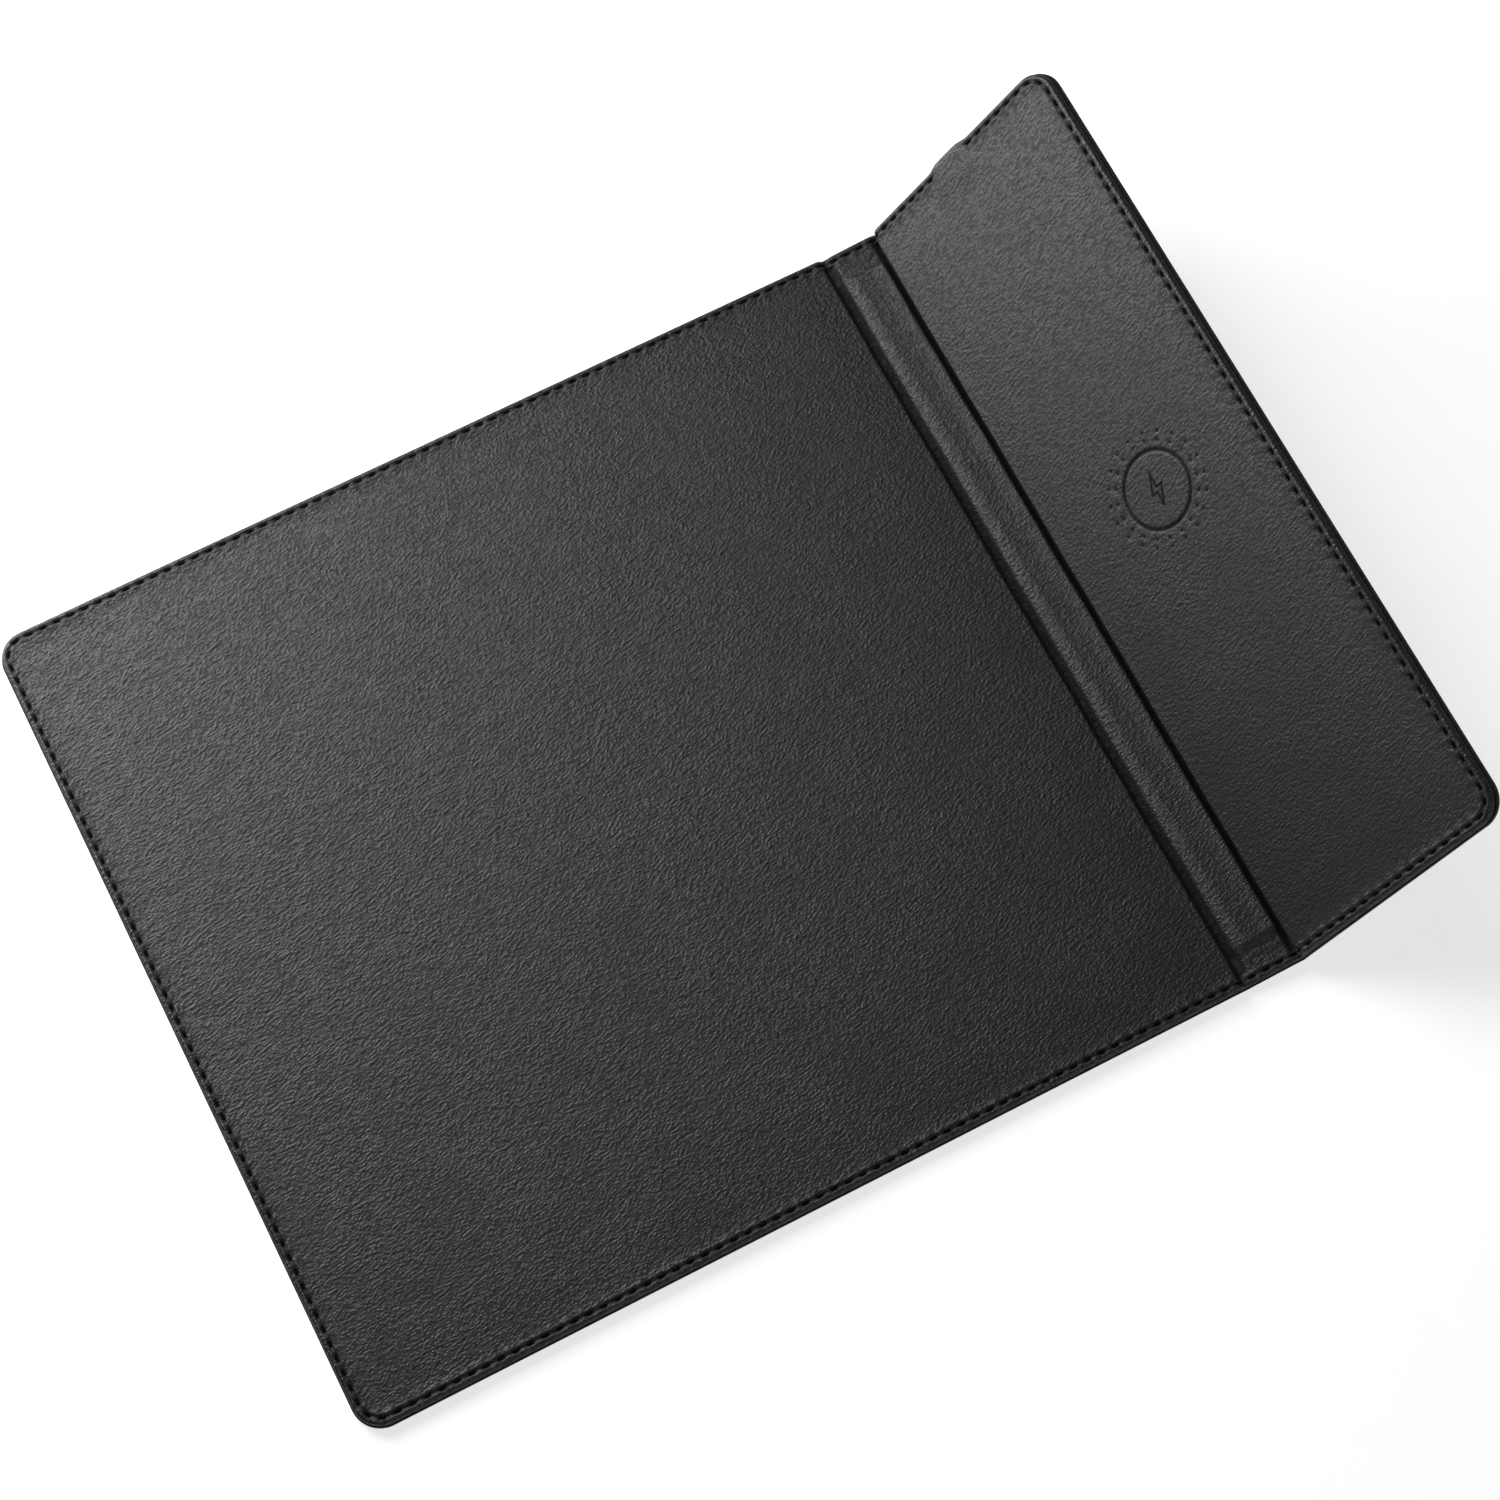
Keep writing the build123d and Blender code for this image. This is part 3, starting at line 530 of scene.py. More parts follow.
def seam_relief(from_stitch, thread, quiet):
    """Groove, needle dimples and puckers beside a row of stitches.

    thread is 1 in the middle of a stitch and 0 between two stitches.
    """
    groove = 0.16 * bell(from_stitch / 0.36) * (1 - 0.8 * quiet)
    dimple = 0.42 * thread ** 0.7 * bell(from_stitch / (0.4 + 0.08 * thread))
    pucker = 0.17 * (1 - thread) * bell((from_stitch - 0.85) / 0.45)
    crown = 0.07 * bell((from_stitch - 0.8) / 0.35)
    return groove + dimple, (pucker + crown) * (1 - quiet)


def hemmed_strip(panel, sheet):
    """Outer and inner faces of a panel's edge, as rows of columns of points."""
    stitch = STITCH_INSET - sheet["inset"]
    rows = edge_rows(stitch)
    columns = panel.stitches * COLUMNS_PER_STITCH + 1
    along = np.linspace(0, panel.total, columns)
    quiet = sheet["quiet"](*panel.place(along, STITCH_INSET))
    thread = (0.5 - 0.5 * np.cos(2 * math.pi * along / panel.pitch)) * (1 - quiet)
    out = sheet["out"](*panel.place(along, 0))
    outer, painted_shade_and_mark = [], []
    for inset, lift, drop in rows:
        x, y = panel.place(along, inset + sheet["inset"] - out * smooth(1.5 - inset / 2))
        face, seam = sheet["levels"](x, y)
        thick = face - seam - SEAM_GAP
        if drop is None:
            z = seam + SEAM_GAP + lift * np.minimum(1, thick / 1.5)
            # Painted shade on the lower side wall and along the seam between the sheets.
            dark = np.full(columns, max(0.65, 0.9 - lift))
        else:
            from_stitch = inset - stitch
            pressed, raised = seam_relief(from_stitch, thread, quiet)
            z = face - (drop + pressed) * np.minimum(1, thick / 1.15) + raised
            # Painted shade on the rolled edge's steep side wall; negative values on the roll's
            # crown give no colour and only lower the roughness.
            wall = 0.6 * smooth((drop - 0.15) / 0.35) - 0.45 * bell((inset - 0.5) / 0.32)
            # Painted shade in the needle holes and along the stitch groove.
            holes = np.maximum(
                np.clip(thread * 1.5, 0, 1) * bell(from_stitch / 0.55),
                0.45 * bell(from_stitch / 0.35) * (1 - quiet),
            )
            dark = np.where(holes > 0.05, holes, wall)
        outer.append(np.column_stack([x, y, z * sheet["up"]]))
        painted_shade_and_mark.append(dark)
    inner = []
    hem_end, face_end = rows[0][0], rows[-1][0]
    for inset, on_face in ((hem_end, 0), (0.85, 0), (0.85, 1), (face_end, 1)):
        x, y = panel.place(along, inset + sheet["inset"])
        face, seam = sheet["levels"](x, y)
        thick = face - seam - SEAM_GAP
        if on_face:
            z = face - np.minimum(SHEET, 0.46 * thick)
        else:
            z = seam + SEAM_GAP + np.minimum(HEM_SHEET, 0.42 * thick)
        inner.append(np.column_stack([x, y, z * sheet["up"]]))
    return np.array(outer), np.array(painted_shade_and_mark), np.array(inner)


def inside(panel, candidates, margin):
    """The points that lie inside the edge strip by a margin."""
    x, y = candidates.T
    limit = STITCH_INSET + FACE_START + margin
    p = (x - panel.split_x) * panel.sense
    q = np.abs(y)
    length, width = panel.length - limit, panel.half_width - limit
    r = max(panel.corner - limit, 0)
    past_p, past_q = p - (length - r), q - (width - r)
    cut = (past_p > 0) & (past_q > 0) & (np.hypot(past_p, past_q) > r)
    return candidates[(p > margin) & (p < length) & (q < width) & ~cut]


def leather_sheet(name, panel, sheet, folder, material):
    """A closed sheet: outer face, rolled edge, turned-in hem and inner face."""
    outer, painted_shade_and_mark, inner = hemmed_strip(panel, sheet)
    rows, columns = outer.shape[:2]
    inner_rows = len(inner)
    reach = outer[-1, -1, 1]
    cut_y = np.linspace(reach, -reach, sheet["cut_points"])[1:-1]
    cut = np.column_stack([np.full(len(cut_y), panel.split_x), cut_y])

    def raised(points, below):
        x, y = points.T
        z = sheet["levels"](x, y)[0] + sheet["detail"](x, y) - below
        return np.column_stack([x, y, z * sheet["up"]])

    def last_row(start, count):
        return [start + c * count + count - 1 for c in range(columns)]

    face_points = np.vstack([cut, inside(panel, sheet["points"], 0.35)])
    back_cut = cut[::3]
    back_points = np.vstack([back_cut, inside(panel, sheet["back_points"], 0.7)])
    blocks = [
        outer.transpose(1, 0, 2).reshape(-1, 3),
        raised(face_points, 0),
        inner.transpose(1, 0, 2).reshape(-1, 3),
        raised(back_points, SHEET),
    ]
    face_start, inner_start, back_start, total = np.cumsum([len(b) for b in blocks])
    flat = np.vstack(blocks)
    faces = strip_faces(rows, columns, 0)
    faces += strip_faces(inner_rows, columns, inner_start)
    names = last_row(0, rows) + list(range(face_start, inner_start))
    loop = np.vstack([outer[-1, :, :2], cut])
    faces += fill(loop, face_points[len(cut):], names)
    names = last_row(inner_start, inner_rows) + list(range(back_start, total))
    loop = np.vstack([inner[-1, :, :2], back_cut])
    faces += fill(loop, back_points[len(back_cut):], names)

    # the hem's cut edge, then the cut across the split
    for c in range(columns - 1):
        near, far = c, c + 1
        faces.append((near * rows, inner_start + near * inner_rows,
                      inner_start + far * inner_rows, far * rows))
    end = columns - 1
    outer_end = [end * rows + r for r in range(rows)]
    inner_end = [inner_start + end * inner_rows + r for r in range(inner_rows)]
    outer_first = list(range(rows))[::-1]
    inner_first = [inner_start + r for r in range(inner_rows)][::-1]
    across = list(range(face_start, face_start + len(cut)))
    back_across = list(range(back_start, back_start + len(back_cut)))
    faces += bridge(outer_end, inner_end, flat)
    faces += bridge(
        [outer_end[-1], *across, outer_first[0]],
        [inner_end[-1], *back_across, inner_first[0]],
        flat,
    )
    faces += bridge(outer_first, inner_first, flat)
    # Painted shade per point, and the darkened mark: first the edge rows', then the face's.
    dark = np.zeros(total)
    dark[:face_start] = painted_shade_and_mark.T.reshape(-1)
    dark[face_start:inner_start] = sheet["painted_shade_and_mark"](*face_points.T)
    return add_mesh(name, flat, faces, folder, material, {"painted_shade_and_mark": dark})


def stitches(panels_and_sheets):
    """Short thread bridges between needle holes, each an arched capsule."""
    points, faces = [], []
    sides, rings = 8, 7
    around = np.arange(sides) * 2 * math.pi / sides
    for panel, sheet in panels_and_sheets:
        for stitch in range(panel.stitches):
            middle = (stitch + 0.5) * panel.pitch
            if sheet["quiet"](*panel.place([middle], STITCH_INSET))[0] > 0.3:
                continue
            start = len(points) * sides
            for ring in range(rings):
                share = 2 * ring / (rings - 1) - 1
                along = np.full(sides, middle + share * STITCH_LENGTH / 2)
                taper = (1 - 0.85 * share ** 4) ** 0.5
                inset = STITCH_INSET + THREAD_HALF_WIDTH * taper * np.cos(around)
                x, y = panel.place(along, inset)
                line_x, line_y = panel.place(along, STITCH_INSET)
                face = sheet["levels"](line_x, line_y)[0]
                lift = THREAD_HALF_HEIGHT * taper * np.sin(around)
                z = face - THREAD_SUNK - THREAD_DIVE * share ** 4 + lift
                points.append(np.column_stack([x, y, z * sheet["up"]]))
            for ring in range(rings - 1):
                for side in range(sides):
                    a = start + ring * sides + side
                    b = start + ring * sides + (side + 1) % sides
                    faces.append((a, b, b + sides, a + sides))
            faces.append(tuple(range(start, start + sides)))
            last = start + (rings - 1) * sides
            faces.append(tuple(range(last, last + sides)))
    return np.vstack(points), faces


# ---------- what each sheet is like ----------

def none(x, y):
    return np.zeros_like(x)


def opening(x, y):
    """Half height of the gap that the socket shows through."""
    offset = np.abs(x - PORT_X) - (PORT_HALF_WIDTH - PORT_HALF_HEIGHT)
    round_end = np.sqrt(np.clip(PORT_HALF_HEIGHT ** 2 - np.clip(offset, 0, None) ** 2, 0, None))
    return np.where(y > HALF_WIDTH - HEM - 2, round_end, 0)


def top_levels(x, y):
    return top_height(x, y), SEAM_HEIGHT(x) + opening(x, y)


def base_levels(x, y):
    return np.zeros_like(x), opening(x, y) - SEAM_HEIGHT(x)


def port_quiet(x, y):
    near = smooth((BULGE_HALF_WIDTH + 0.6 - np.abs(x - PORT_X)) / 1.2)
    return near * (y > HALF_WIDTH - HEM)


def port_out(x, y):
    return BULGE_OUT * over_port(x, y) * (y > HALF_WIDTH - HEM)


def top_shade_and_mark(x, y):
    """How dark the top leather is painted: painted shade on the crease floors, and the pressed mark
    darkened.
    """
    depth = MAT_TOP - 0.5 - top_height(x, y)
    # Painted shade on the crease floors, weaker past the rib's ends.
    crease_shade = smooth(depth / 1.3) * (1 - past_rib(y) * 0.3)
    return np.maximum(crease_shade * 0.85, mark_press(x, y))


def top_face_detail(x, y):
    from_mark = np.hypot(x - MARK_X, y - MARK_Y)
    dots = smooth((from_mark - MARK_RADIUS - 1.0) / 0.8)
    return top_detail(x, y) - MARK_DEPTH * (1 - 0.7 * dots) * mark_press(x, y)


def base_detail(x, y):
    """The base leather lies a hair above the desk between its seams."""
    away = smooth((HALF_WIDTH - STRIP_END - np.abs(y)) / 10)
    return -away * (0.05 + 0.03 * ripple(x, y, 2.0))


def mark_points():
    """Points that follow the pressed ring, its dots and the bolt."""
    points = []
    ring_offsets = np.array([-1.0, -0.5, -0.34, -0.24, -0.14, 0, 0.14, 0.24, 0.34, 0.5, 1.0])
    for radius in MARK_RADIUS + ring_offsets:
        angles = np.arange(220) * 2 * math.pi / 220
        points.append(np.column_stack([radius * np.cos(angles), radius * np.sin(angles)]))
    for radius in (10.95, 12.65, 14.6, 16.2):
        angles = np.arange(80) * 2 * math.pi / 80
        points.append(np.column_stack([radius * np.cos(angles), radius * np.sin(angles)]))
    for radius in RAY_RADII:
        for ray in range(RAY_COUNT):
            ray_angle = 2 * math.pi * ray / RAY_COUNT
            centre = np.array([math.cos(ray_angle), math.sin(ray_angle)]) * radius
            points.append(centre[None])
            for dot_radius in (0.15, 0.31, 0.41, 0.5):
                angles = np.arange(12) * math.pi / 6 + dot_radius * 5
                ring = np.column_stack([np.cos(angles), np.sin(angles)]) * dot_radius
                points.append(centre + ring)
    around = np.vstack(points) + (MARK_X, MARK_Y)
    bolt = grid(np.arange(-2.6, 2.6, 0.115), np.arange(-4.9, 4.9, 0.115)) + (MARK_X, MARK_Y)
    middle = grid(np.arange(-8.2, 8.2, 1.2), np.arange(-8.2, 8.2, 1.2))
    clear = (np.abs(middle[:, 0]) > 2.8) | (np.abs(middle[:, 1]) > 5.1)
    clear &= np.hypot(*middle.T) < MARK_RADIUS - 1.3
    return np.vstack([around, bolt, middle[clear] + (MARK_X, MARK_Y)])


def top_points():
    """Where the top leather's face needs points, denser at the creases."""
    rib_end = HALF_WIDTH - RIB_END_INSET
    ends = [(-HALF_WIDTH + 3, -rib_end + 2), (rib_end - 2, HALF_WIDTH - 3)]
    crease_x = np.arange(CREASE_1_X - 3.4, CREASE_2_X + 3.4, 0.22)
    crease = grid(crease_x, lines(-HALF_WIDTH, HALF_WIDTH, 2.0, ends, 0.45))
    mat_x = lines(MAT_FREE_X, CREASE_1_X - 4.2, 2.6)
    flap_x = lines(CREASE_2_X + 4.4, FLAP_FREE_X, 2.2)
    plain = grid(np.concatenate([mat_x, flap_x]), lines(-HALF_WIDTH, HALF_WIDTH, 2.4))
    from_mark = np.hypot(plain[:, 0] - MARK_X, plain[:, 1] - MARK_Y)
    return np.vstack([crease, plain[from_mark > 17], mark_points()])


def coarse_points(spacing=4.0):
    """A plain grid, closer together only where the leather bends."""
    bends = [(CREASE_1_X - 4, CREASE_1_X + 4), (CREASE_2_X - 4, CREASE_2_X + 4)]
    xs = lines(MAT_FREE_X, FLAP_FREE_X, spacing, bends, 0.4)
    return grid(xs, np.arange(-HALF_WIDTH + 2, HALF_WIDTH, spacing))


FACE_POINTS = top_points()
BACK_POINTS = coarse_points()
TOP = {
    "up": 1,
    "inset": TOP_INSET,
    "levels": top_levels,
    "detail": top_face_detail,
    "quiet": port_quiet,
    "out": port_out,
    "painted_shade_and_mark": top_shade_and_mark,
    "points": FACE_POINTS,
    "back_points": BACK_POINTS,
    "cut_points": 301,
}
BASE = {
    "up": -1,
    "inset": 0.0,
    "levels": base_levels,
    "detail": base_detail,
    "quiet": port_quiet,
    "out": port_out,
    "painted_shade_and_mark": none,
    "points": BACK_POINTS,
    "back_points": BACK_POINTS,
    "cut_points": 101,
}


def leg_sheet(up):
    """One of the leg's two skins, seamed half way up the leg's thickness."""
    face = up * (LEG_LOW + LEG_THICK / 2) + LEG_THICK / 2
    seam = up * (LEG_LOW + LEG_THICK / 2)
    points = grid(
        np.arange(LEG_AXIS_X - LEG_LENGTH, LEG_AXIS_X, 3.0),
        np.arange(-LEG_HALF_WIDTH + 1, LEG_HALF_WIDTH, 3.0),
    )
    return {
        "up": up,
        "inset": 0.0,
        "levels": lambda x, y: (np.full_like(x, face), np.full_like(x, seam)),
        "detail": lambda x, y: 0.03 * ripple(x, y, 3.0 + up) - 0.03,
        "quiet": none,
        "out": none,
        "painted_shade_and_mark": none,
        "points": points,
        "back_points": points[::2],
        "cut_points": 121,
    }


# ---------- materials ----------

def new_material(name):
    """An empty node material with a Principled shader, its nodes and links."""
    material = bpy.data.materials.new(name)
    material.use_nodes = True
    tree = material.node_tree
    return material, tree.nodes, tree.links, tree.nodes["Principled BSDF"]


def ramp(nodes, links, source, stops):
    """A colour ramp on a value, with (position, grey or colour) stops."""
    node = nodes.new("ShaderNodeValToRGB")
    links.new(source, node.inputs["Fac"])
    elements = node.color_ramp.elements
    while len(elements) < len(stops):
        elements.new(0.5)
    for element, (position, colour) in zip(elements, stops):
        element.position = position
        shade = (colour,) * 3 if isinstance(colour, float) else colour
        element.color = (*shade, 1)
    return node.outputs["Color"]


def noise(nodes, links, vector, scale, detail=3.0, roughness=0.55, stretch=(1, 1, 1), turned=0.0):
    """A noise texture, its features stretched and then turned."""
    mapping = nodes.new("ShaderNodeMapping")
    mapping.vector_type = "TEXTURE"
    mapping.inputs["Scale"].default_value = stretch
    mapping.inputs["Rotation"].default_value = (0, 0, math.radians(turned))
    links.new(vector, mapping.inputs["Vector"])
    node = nodes.new("ShaderNodeTexNoise")
    node.inputs["Scale"].default_value = scale
    node.inputs["Detail"].default_value = detail
    node.inputs["Roughness"].default_value = roughness
    links.new(mapping.outputs["Vector"], node.inputs["Vector"])
    return node.outputs["Fac"]


def combine(nodes, links, operation, first, second):
    """One Math node on two values, which may be numbers."""
    node = nodes.new("ShaderNodeMath")
    node.operation = operation
    for socket, value in zip(node.inputs, (first, second)):
        if isinstance(value, (int, float)):
            socket.default_value = value
        else:
            links.new(value, socket)
    return node.outputs["Value"]


def bump(nodes, links, height, distance, strength, shader):
    """Send a height in units of distance, in metres, to a shader's normal."""
    node = nodes.new("ShaderNodeBump")
    node.inputs["Distance"].default_value = distance
    node.inputs["Strength"].default_value = strength
    links.new(height, node.inputs["Height"])
    links.new(node.outputs["Normal"], shader.inputs["Normal"])


def leather_material(name, shade, gloss):
    """Coated black leather: fine pebbles, directional wrinkles, glossier grain crowns; its colour
    darkens in the grain's hollows, partly tone and partly painted shade.
    """
    material, nodes, links, shader = new_material(name)
    flat = nodes.new("ShaderNodeAttribute")
    flat.attribute_name = "flat"
    vector = flat.outputs["Vector"]
    cloud = noise(nodes, links, vector, 0.045, 3.0)
    grain = nodes.new("ShaderNodeTexVoronoi")
    grain.feature = "SMOOTH_F1"
    grain.inputs["Scale"].default_value = 1.5
    grain.inputs["Smoothness"].default_value = 0.45
    stretch = nodes.new("ShaderNodeMapping")
    stretch.vector_type = "TEXTURE"
    stretch.inputs["Scale"].default_value = (1.35, 0.85, 1.0)
    stretch.inputs["Rotation"].default_value = (0, 0, math.radians(13))
    links.new(vector, stretch.inputs["Vector"])
    links.new(stretch.outputs["Vector"], grain.inputs["Vector"])
    pebble = combine(nodes, links, "MULTIPLY", grain.outputs["Distance"], -0.9)
    wrinkle = noise(nodes, links, vector, 1.0, 3.0, 0.65, (2.7, 0.72, 1.0), 13)
    cross = noise(nodes, links, vector, 1.0, 2.0, 0.6, (0.6, 1.6, 1.0), 31)
    fine = noise(nodes, links, vector, 2.4, 2.0)
    height = combine(nodes, links, "ADD", pebble, combine(nodes, links, "MULTIPLY", wrinkle, 1.25))
    height = combine(nodes, links, "ADD", height, combine(nodes, links, "MULTIPLY", cross, 0.45))
    height = combine(nodes, links, "ADD", height, combine(nodes, links, "MULTIPLY", fine, 0.5))
    place = nodes.new("ShaderNodeSeparateXYZ")
    links.new(vector, place.inputs["Vector"])
    relief = nodes.new("ShaderNodeMapRange")
    relief.inputs["From Min"].default_value = CREASE_1_X
    relief.inputs["From Max"].default_value = CREASE_2_X
    relief.inputs["To Min"].default_value = 1.0
    relief.inputs["To Max"].default_value = 0.57
    links.new(place.outputs["X"], relief.inputs["Value"])
    patches = ramp(nodes, links, cloud, [(0.35, 0.7), (0.6, 1.0)])
    strength = combine(nodes, links, "MULTIPLY", relief.outputs["Result"], patches)
    bump(nodes, links, combine(nodes, links, "MULTIPLY", height, strength), 0.0002, 1.0, shader)

    # This attribute holds painted shade (crease floors, needle holes, the stitch groove, the edge's
    # side wall and seam) and the darkened pressed mark; it mixes the colour toward near black and
    # adds roughness.
    dark = nodes.new("ShaderNodeAttribute")
    dark.attribute_name = "painted_shade_and_mark"
    # Darker in the grain's hollows and lighter on its crowns: partly the leather's own tone, partly
    # painted shade in the hollows.
    grain_shade_and_tone = combine(nodes, links, "MULTIPLY", pebble, 0.6)
    grain_shade_and_tone = combine(nodes, links, "ADD", grain_shade_and_tone, combine(nodes, links, "MULTIPLY", fine, 0.5))
    grain_shade_and_tone = combine(nodes, links, "ADD", grain_shade_and_tone, combine(nodes, links, "MULTIPLY", wrinkle, 1.1))
    grain_shade_and_tone = combine(nodes, links, "ADD", grain_shade_and_tone, combine(nodes, links, "MULTIPLY", cloud, 0.15))
    low, high = [tuple(c * shade * k for c in (1.0, 1.0, 1.01)) for k in (0.12, 1.15)]
    colour = ramp(nodes, links, grain_shade_and_tone, [(0.43, low), (0.78, high)])
    mix = nodes.new("ShaderNodeMix")
    mix.data_type = "RGBA"
    links.new(dark.outputs["Fac"], mix.inputs["Factor"])
    links.new(colour, mix.inputs["A"])
    # Near black: the colour of the painted shade and of the darkened mark.
    mix.inputs["B"].default_value = (0.0008, 0.0008, 0.0009, 1)
    links.new(mix.outputs["Result"], shader.inputs["Base Color"])
    rough = ramp(nodes, links, grain_shade_and_tone, [(0.43, gloss + 0.13), (0.78, gloss - 0.11)])
    dull = combine(nodes, links, "MULTIPLY", dark.outputs["Fac"], 0.45)
    links.new(combine(nodes, links, "ADD", rough, dull), shader.inputs["Roughness"])
    shader.inputs["Specular IOR Level"].default_value = 0.5
    return material


def thread_material():
    """Matt black twisted sewing thread."""
    material, nodes, links, shader = new_material("sewing_thread")
    flat = nodes.new("ShaderNodeAttribute")
    flat.attribute_name = "flat"
    twist = nodes.new("ShaderNodeTexWave")
    twist.bands_direction = "DIAGONAL"
    twist.inputs["Scale"].default_value = 1.1
    twist.inputs["Distortion"].default_value = 0.6
    links.new(flat.outputs["Vector"], twist.inputs["Vector"])
    shade = ramp(nodes, links, twist.outputs["Fac"], [(0.0, 0.0008), (1.0, 0.003)])
    links.new(shade, shader.inputs["Base Color"])
    shader.inputs["Roughness"].default_value = 0.9
    shader.inputs["Specular IOR Level"].default_value = 0.05
    bump(nodes, links, twist.outputs["Fac"], 0.00005, 0.8, shader)
    return material


def solid_material(name, colour, rough, metallic=0.0, scale=900.0, depth=0.00002, vary=0.12,
                   stretch=(1, 1, 1)):
    """A plain finish with fine surface texture, for the parts inside."""
    material, nodes, links, shader = new_material(name)
    place = nodes.new("ShaderNodeTexCoord").outputs["Object"]
    speck = noise(nodes, links, place, scale, 3.0, 0.6, stretch)
    cloud = noise(nodes, links, place, scale / 12, 2.0)
    both = combine(nodes, links, "ADD", combine(nodes, links, "MULTIPLY", speck, 0.6),
                   combine(nodes, links, "MULTIPLY", cloud, 0.4))
    low, high = [tuple(c * k for c in colour) for k in (1 - vary, 1 + vary)]
    links.new(ramp(nodes, links, both, [(0.3, low), (0.7, high)]), shader.inputs["Base Color"])
    spread = ramp(nodes, links, speck, [(0.3, max(rough - 0.06, 0.05)), (0.7, rough + 0.06)])
    links.new(spread, shader.inputs["Roughness"])
    shader.inputs["Metallic"].default_value = metallic
    bump(nodes, links, both, depth, 0.6, shader)
    return material


def coil_material():
    """Enamelled copper litz wire: bright turns with fine strands."""
    material, nodes, links, shader = new_material("copper_coil")
    place = nodes.new("ShaderNodeTexCoord").outputs["Object"]
    strands = noise(nodes, links, place, 2600, 2.0, 0.5, (1, 1, 3.3))
    colour = ramp(nodes, links, strands, [(0.3, (0.42, 0.16, 0.06)), (0.7, (0.72, 0.33, 0.15))])
    links.new(colour, shader.inputs["Base Color"])
    shader.inputs["Metallic"].default_value = 0.9
    shader.inputs["Roughness"].default_value = 0.34
    bump(nodes, links, strands, 0.00003, 0.7, shader)
    return material


def floor_material():
    """White studio paper."""
    material, nodes, links, shader = new_material("studio_paper")
    place = nodes.new("ShaderNodeTexCoord").outputs["Object"]
    fibres = noise(nodes, links, place, 40, 3.0)
    links.new(ramp(nodes, links, fibres, [(0.3, 0.6), (0.7, 0.62)]), shader.inputs["Base Color"])
    shader.inputs["Roughness"].default_value = 0.9
    shader.inputs["Specular IOR Level"].default_value = 0.1
    shader.inputs["Emission Color"].default_value = (1, 1, 1, 1)
    shader.inputs["Emission Strength"].default_value = 0.7
    return material


# ---------- the leather, thread and strap ----------

MAT_PANEL = Panel(MAT_FREE_X, SPLIT_X, HALF_WIDTH, CORNER_RADIUS)
FLAP_PANEL = Panel(FLAP_FREE_X, SPLIT_X, HALF_WIDTH, CORNER_RADIUS)
LEG_PANEL = Panel(
    LEG_AXIS_X - LEG_LENGTH, LEG_AXIS_X - LEG_START, LEG_HALF_WIDTH, LEG_CORNER
)


def rest_point(x, folder=fold):
    """A point on the hinge sheet's middle, once folded, in metres."""
    return tuple((folder(np.array([[x, 0.0, HINGE_Z]])) * MM)[0])


def follow(piece, crease_x, first, second):
    """Bake a piece's transform into its mesh; the fold has already bent it over the crease."""
    start = rest_point(crease_x - BEND_HALF)
    end = rest_point(crease_x + BEND_HALF)
    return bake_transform(piece)


def make_covers():
    """The two top and two base sheets, which bend across the creases."""
    leather = leather_material("black_leather", 0.013, 0.48)
    backing = leather_material("base_leather", 0.015, 0.55)

    piece = leather_sheet("mat_leather_top", MAT_PANEL, TOP, fold, leather)
    follow(piece, CREASE_1_X, "mat", "spine")
    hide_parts("mat_top_cover")

    piece = leather_sheet("flap_leather_top", FLAP_PANEL, TOP, fold, leather)
    follow(piece, CREASE_2_X, "spine", "flap")
    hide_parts("flap_top_cover", "spine_top_cover")

    piece = leather_sheet("mat_leather_base", MAT_PANEL, BASE, fold, backing)
    follow(piece, CREASE_1_X, "mat", "spine")
    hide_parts("mat_base_cover")

    piece = leather_sheet("flap_leather_base", FLAP_PANEL, BASE, fold, backing)
    follow(piece, CREASE_2_X, "spine", "flap")
    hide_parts("flap_back_cover", "spine_base_cover")


def make_stitches():
    """The seam's thread, needle side and bobbin side."""
    thread = thread_material()
    seams = (
        ("mat_seam_stitches", MAT_PANEL, CREASE_1_X, ("mat", "spine"),
         ("mat_stitching", "spine_stitching")),
        ("flap_seam_stitches", FLAP_PANEL, CREASE_2_X, ("spine", "flap"),
         ("flap_stitching",)),
    )
    for name, panel, crease_x, bodies, nodes in seams:
        points, faces = stitches([(panel, TOP), (panel, BASE)])
        piece = add_mesh(name, points, faces, fold, thread, sharp=70.0)
        follow(piece, crease_x, *bodies)
        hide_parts(*nodes)
    points, faces = stitches([(LEG_PANEL, leg_sheet(1)), (LEG_PANEL, leg_sheet(-1))])
    piece = add_mesh("leg_seam_stitches", points, faces, fold_leg, thread, sharp=70.0)
    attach(piece, "leg")


def make_leg():
    """The prop leg's two skins."""
    backing = bpy.data.materials["base_leather"]
    for name, up, node in (
        ("leg_leather_inner", 1, "leg_inner_cover"),
        ("leg_leather_outer", -1, "leg_outer_cover"),
    ):
        piece = leather_sheet(name, LEG_PANEL, leg_sheet(up), fold_leg, backing)
        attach(piece, "leg")
        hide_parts(node)


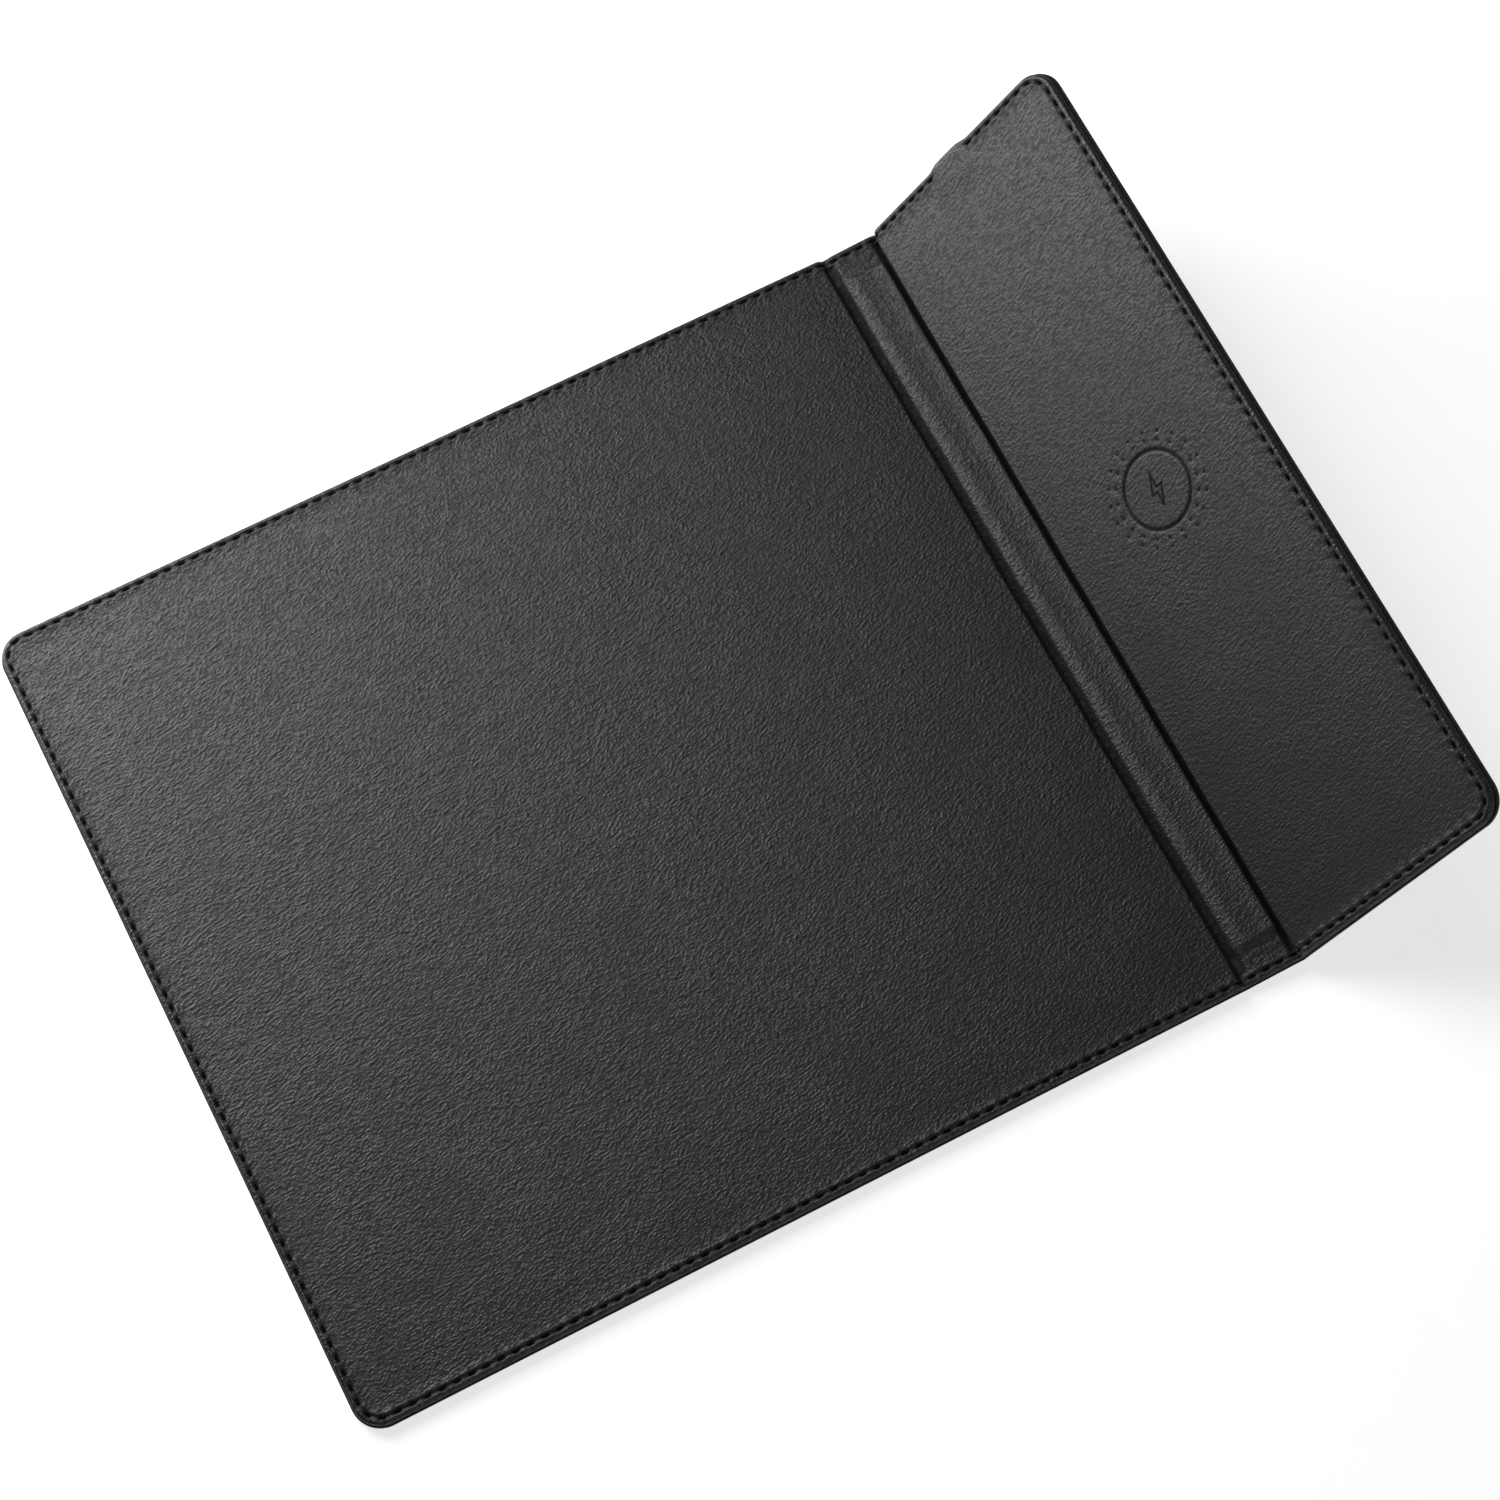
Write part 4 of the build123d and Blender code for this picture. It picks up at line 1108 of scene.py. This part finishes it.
def make_strap():
    """The leather strip from which the leg hangs, bending over its axis."""
    low = LEG_AXIS_X - LEG_START - STRAP_WIDTH
    high = LEG_AXIS_X + STRAP_START + STRAP_WIDTH
    bends = [(LEG_AXIS_X - 1.6, LEG_AXIS_X + 1.6)]
    xs = np.concatenate([[low, low + 0.15], lines(low, high, 1.0, bends, 0.2), [high - 0.15, high]])
    xs = np.unique(xs.round(4))
    ys = np.concatenate([[-1, -0.998], np.linspace(-0.99, 0.99, 60), [0.998, 1]])
    ys = ys * (LEG_HALF_WIDTH - 0.5)
    thin = np.ones((len(ys), len(xs)))
    thin[[0, -1], :] = 0.5
    thin[:, [0, -1]] = 0.5
    over_leg = smooth((LEG_AXIS_X - LEG_START + 0.6 - xs) / 1.2)
    middle = LEG_AXIS_Z + 0.12 * over_leg
    half = 0.33 - 0.13 * over_leg
    points = []
    for side in (1, -1):
        px, py = np.meshgrid(xs, ys)
        pz = middle[None] + side * half[None] * thin
        points.append(np.stack([px, py, pz], -1).reshape(-1, 3))
    flat = np.vstack(points)
    rows, columns = len(xs), len(ys)
    second = rows * columns
    faces = strip_faces(rows, columns, 0) + strip_faces(rows, columns, second)
    rim = [c * rows for c in range(columns)]
    rim += [(columns - 1) * rows + r for r in range(1, rows)]
    rim += [c * rows + rows - 1 for c in range(columns - 2, -1, -1)]
    rim += [r for r in range(rows - 2, 0, -1)]
    for a, b in zip(rim, rim[1:] + rim[:1]):
        faces.append((a, b, b + second, a + second))
    piece = add_mesh("leg_strap", flat, faces, fold_strap, bpy.data.materials["base_leather"])
    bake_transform(piece)
    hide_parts("leg_hinge_strap")


def finish_inner_parts():
    """Real finishes on the parts that keep their CAD shape."""
    board = solid_material("grey_board", (0.17, 0.145, 0.12), 0.85, scale=500, depth=0.00005)
    case = solid_material("black_case", (0.03, 0.03, 0.032), 0.5, scale=2500)
    steel = solid_material("stamped_steel", (0.55, 0.56, 0.57), 0.32, 1.0, 1400,
                           stretch=(1, 6.7, 1), depth=0.000008, vary=0.06)
    nickel = solid_material("nickel_plate", (0.62, 0.6, 0.55), 0.28, 1.0, 1800, vary=0.05)
    resin = solid_material("chip_resin", (0.02, 0.02, 0.021), 0.6, scale=3000)
    ceramic = solid_material("tan_ceramic", (0.42, 0.3, 0.19), 0.45, scale=2400)
    finishes = {
        "mat_board": board,
        "spine_rib": board,
        "flap_board": board,
        "leg_board": board,
        "mat_foam": solid_material("grey_foam", (0.09, 0.09, 0.095), 0.95, scale=1500,
                                   depth=0.0002, vary=0.3),
        "charger_tray": case,
        "charger_lid": case,
        "usb_socket_tongue": solid_material("socket_plastic", (0.02, 0.02, 0.02), 0.42, scale=2600),
        "usb_socket_shell": steel,
        "timing_crystal": steel,
        "catch_discs": steel,
        "leg_magnets": nickel,
        "ferrite_sheet": solid_material("ferrite", (0.05, 0.05, 0.055), 0.7, scale=1800),
        "charging_coil": coil_material(),
        "coil_leads": nickel,
        "circuit_board": solid_material("solder_mask", (0.01, 0.09, 0.04), 0.35, scale=700,
                                        vary=0.2),
        "controller_chip": resin,
        "bridge_transistors": resin,
        "input_inductor": resin,
        "tank_capacitors": ceramic,
        "input_capacitors": ceramic,
        "thermistor": ceramic,
    }
    for node, material in finishes.items():
        mesh = frame["nodes"][node].data
        mesh.materials.clear()
        mesh.materials.append(material)


# ---------- studio ----------

CAMERA_AT = Vector((-0.0788, -0.2442, 0.7557))
CAMERA_AIM = Vector((0.03686, -0.00058, 0.0))
CAMERA_ROLL = -1.863
CAMERA_LENS = 81.92


def make_camera():
    """The camera at the object's seen angle."""
    data = bpy.data.cameras.new("camera")
    data.lens = CAMERA_LENS
    data.sensor_width = 36.0
    data.clip_start, data.clip_end = 0.01, 50
    camera = bpy.data.objects.new("camera", data)
    bpy.context.scene.collection.objects.link(camera)
    look = (CAMERA_AIM - CAMERA_AT).to_track_quat("-Z", "Y").to_matrix()
    roll = Matrix.Rotation(math.radians(CAMERA_ROLL), 3, "Z")
    camera.matrix_world = Matrix.Translation(CAMERA_AT) @ (look @ roll).to_4x4()
    bpy.context.scene.camera = camera


def softbox(name, at, aim, size, power):
    """A rectangular area light that faces a point."""
    data = bpy.data.lights.new(name, "AREA")
    data.shape = "RECTANGLE"
    data.size, data.size_y = size
    data.energy = power
    light = bpy.data.objects.new(name, data)
    bpy.context.scene.collection.objects.link(light)
    light.location = at
    light.visible_camera = False
    light.rotation_euler = (Vector(aim) - Vector(at)).to_track_quat("-Z", "Y").to_euler()


def make_backdrop(material):
    """A pale wall round the floor, seen by the camera only."""
    steps = 48
    radius, height = 5.9, 12.0
    angles = [2 * math.pi * step / steps for step in range(steps)]
    low = [(radius * math.cos(a), radius * math.sin(a), -0.01) for a in angles]
    high = [(x, y, height) for x, y, z in low]
    faces = [(i, (i + 1) % steps, steps + (i + 1) % steps, steps + i) for i in range(steps)]
    mesh = bpy.data.meshes.new("backdrop")
    mesh.from_pydata(low + high, [], faces)
    mesh.materials.append(material)
    wall = bpy.data.objects.new("backdrop", mesh)
    bpy.context.scene.collection.objects.link(wall)
    wall.visible_diffuse = False
    wall.visible_glossy = False
    wall.visible_transmission = False
    wall.visible_shadow = False
    return wall


def make_studio():
    """White floor, pale wall, weak white surroundings and five softboxes."""
    mesh = bpy.data.meshes.new("floor")
    reach = 6.0
    mesh.from_pydata(
        [(-reach, -reach, 0), (reach, -reach, 0), (reach, reach, 0), (-reach, reach, 0)],
        [], [(0, 1, 2, 3)],
    )
    mesh.materials.append(floor_material())
    floor = bpy.data.objects.new("floor", mesh)
    floor.location.z = -0.0002
    bpy.context.scene.collection.objects.link(floor)
    make_backdrop(floor_material())

    world = bpy.data.worlds.new("studio")
    world.use_nodes = True
    background = world.node_tree.nodes["Background"]
    background.inputs["Color"].default_value = (1, 1, 1, 1)
    background.inputs["Strength"].default_value = 0.01
    bpy.context.scene.world = world
    corner = (MAT_FREE_X * MM, HALF_WIDTH * MM, 0)
    middle = (0.03, 0, 0.01)
    softbox("rear_low", (-0.25, 0.36, 0.14), corner, (0.3, 0.3), 1.82)
    softbox("rear_high", (-0.11, 0.354, 0.36), corner, (0.35, 0.35), 2.1)
    softbox("front", (1.01, -1.69, 0.43), middle, (0.7, 0.7), 4.0)
    softbox("front_high", (-0.1, -1.1, 1.2), middle, (1.2, 0.5), 2.5)
    softbox("overhead", (0.03, 1.23, 1.59), middle, (1.0, 1.0), 4.9)
    bpy.context.scene.view_settings.view_transform = "Standard"
    bpy.context.scene.view_settings.look = "None"


make_camera()
make_covers()
make_leg()
make_stitches()
make_strap()
finish_inner_parts()
make_studio()
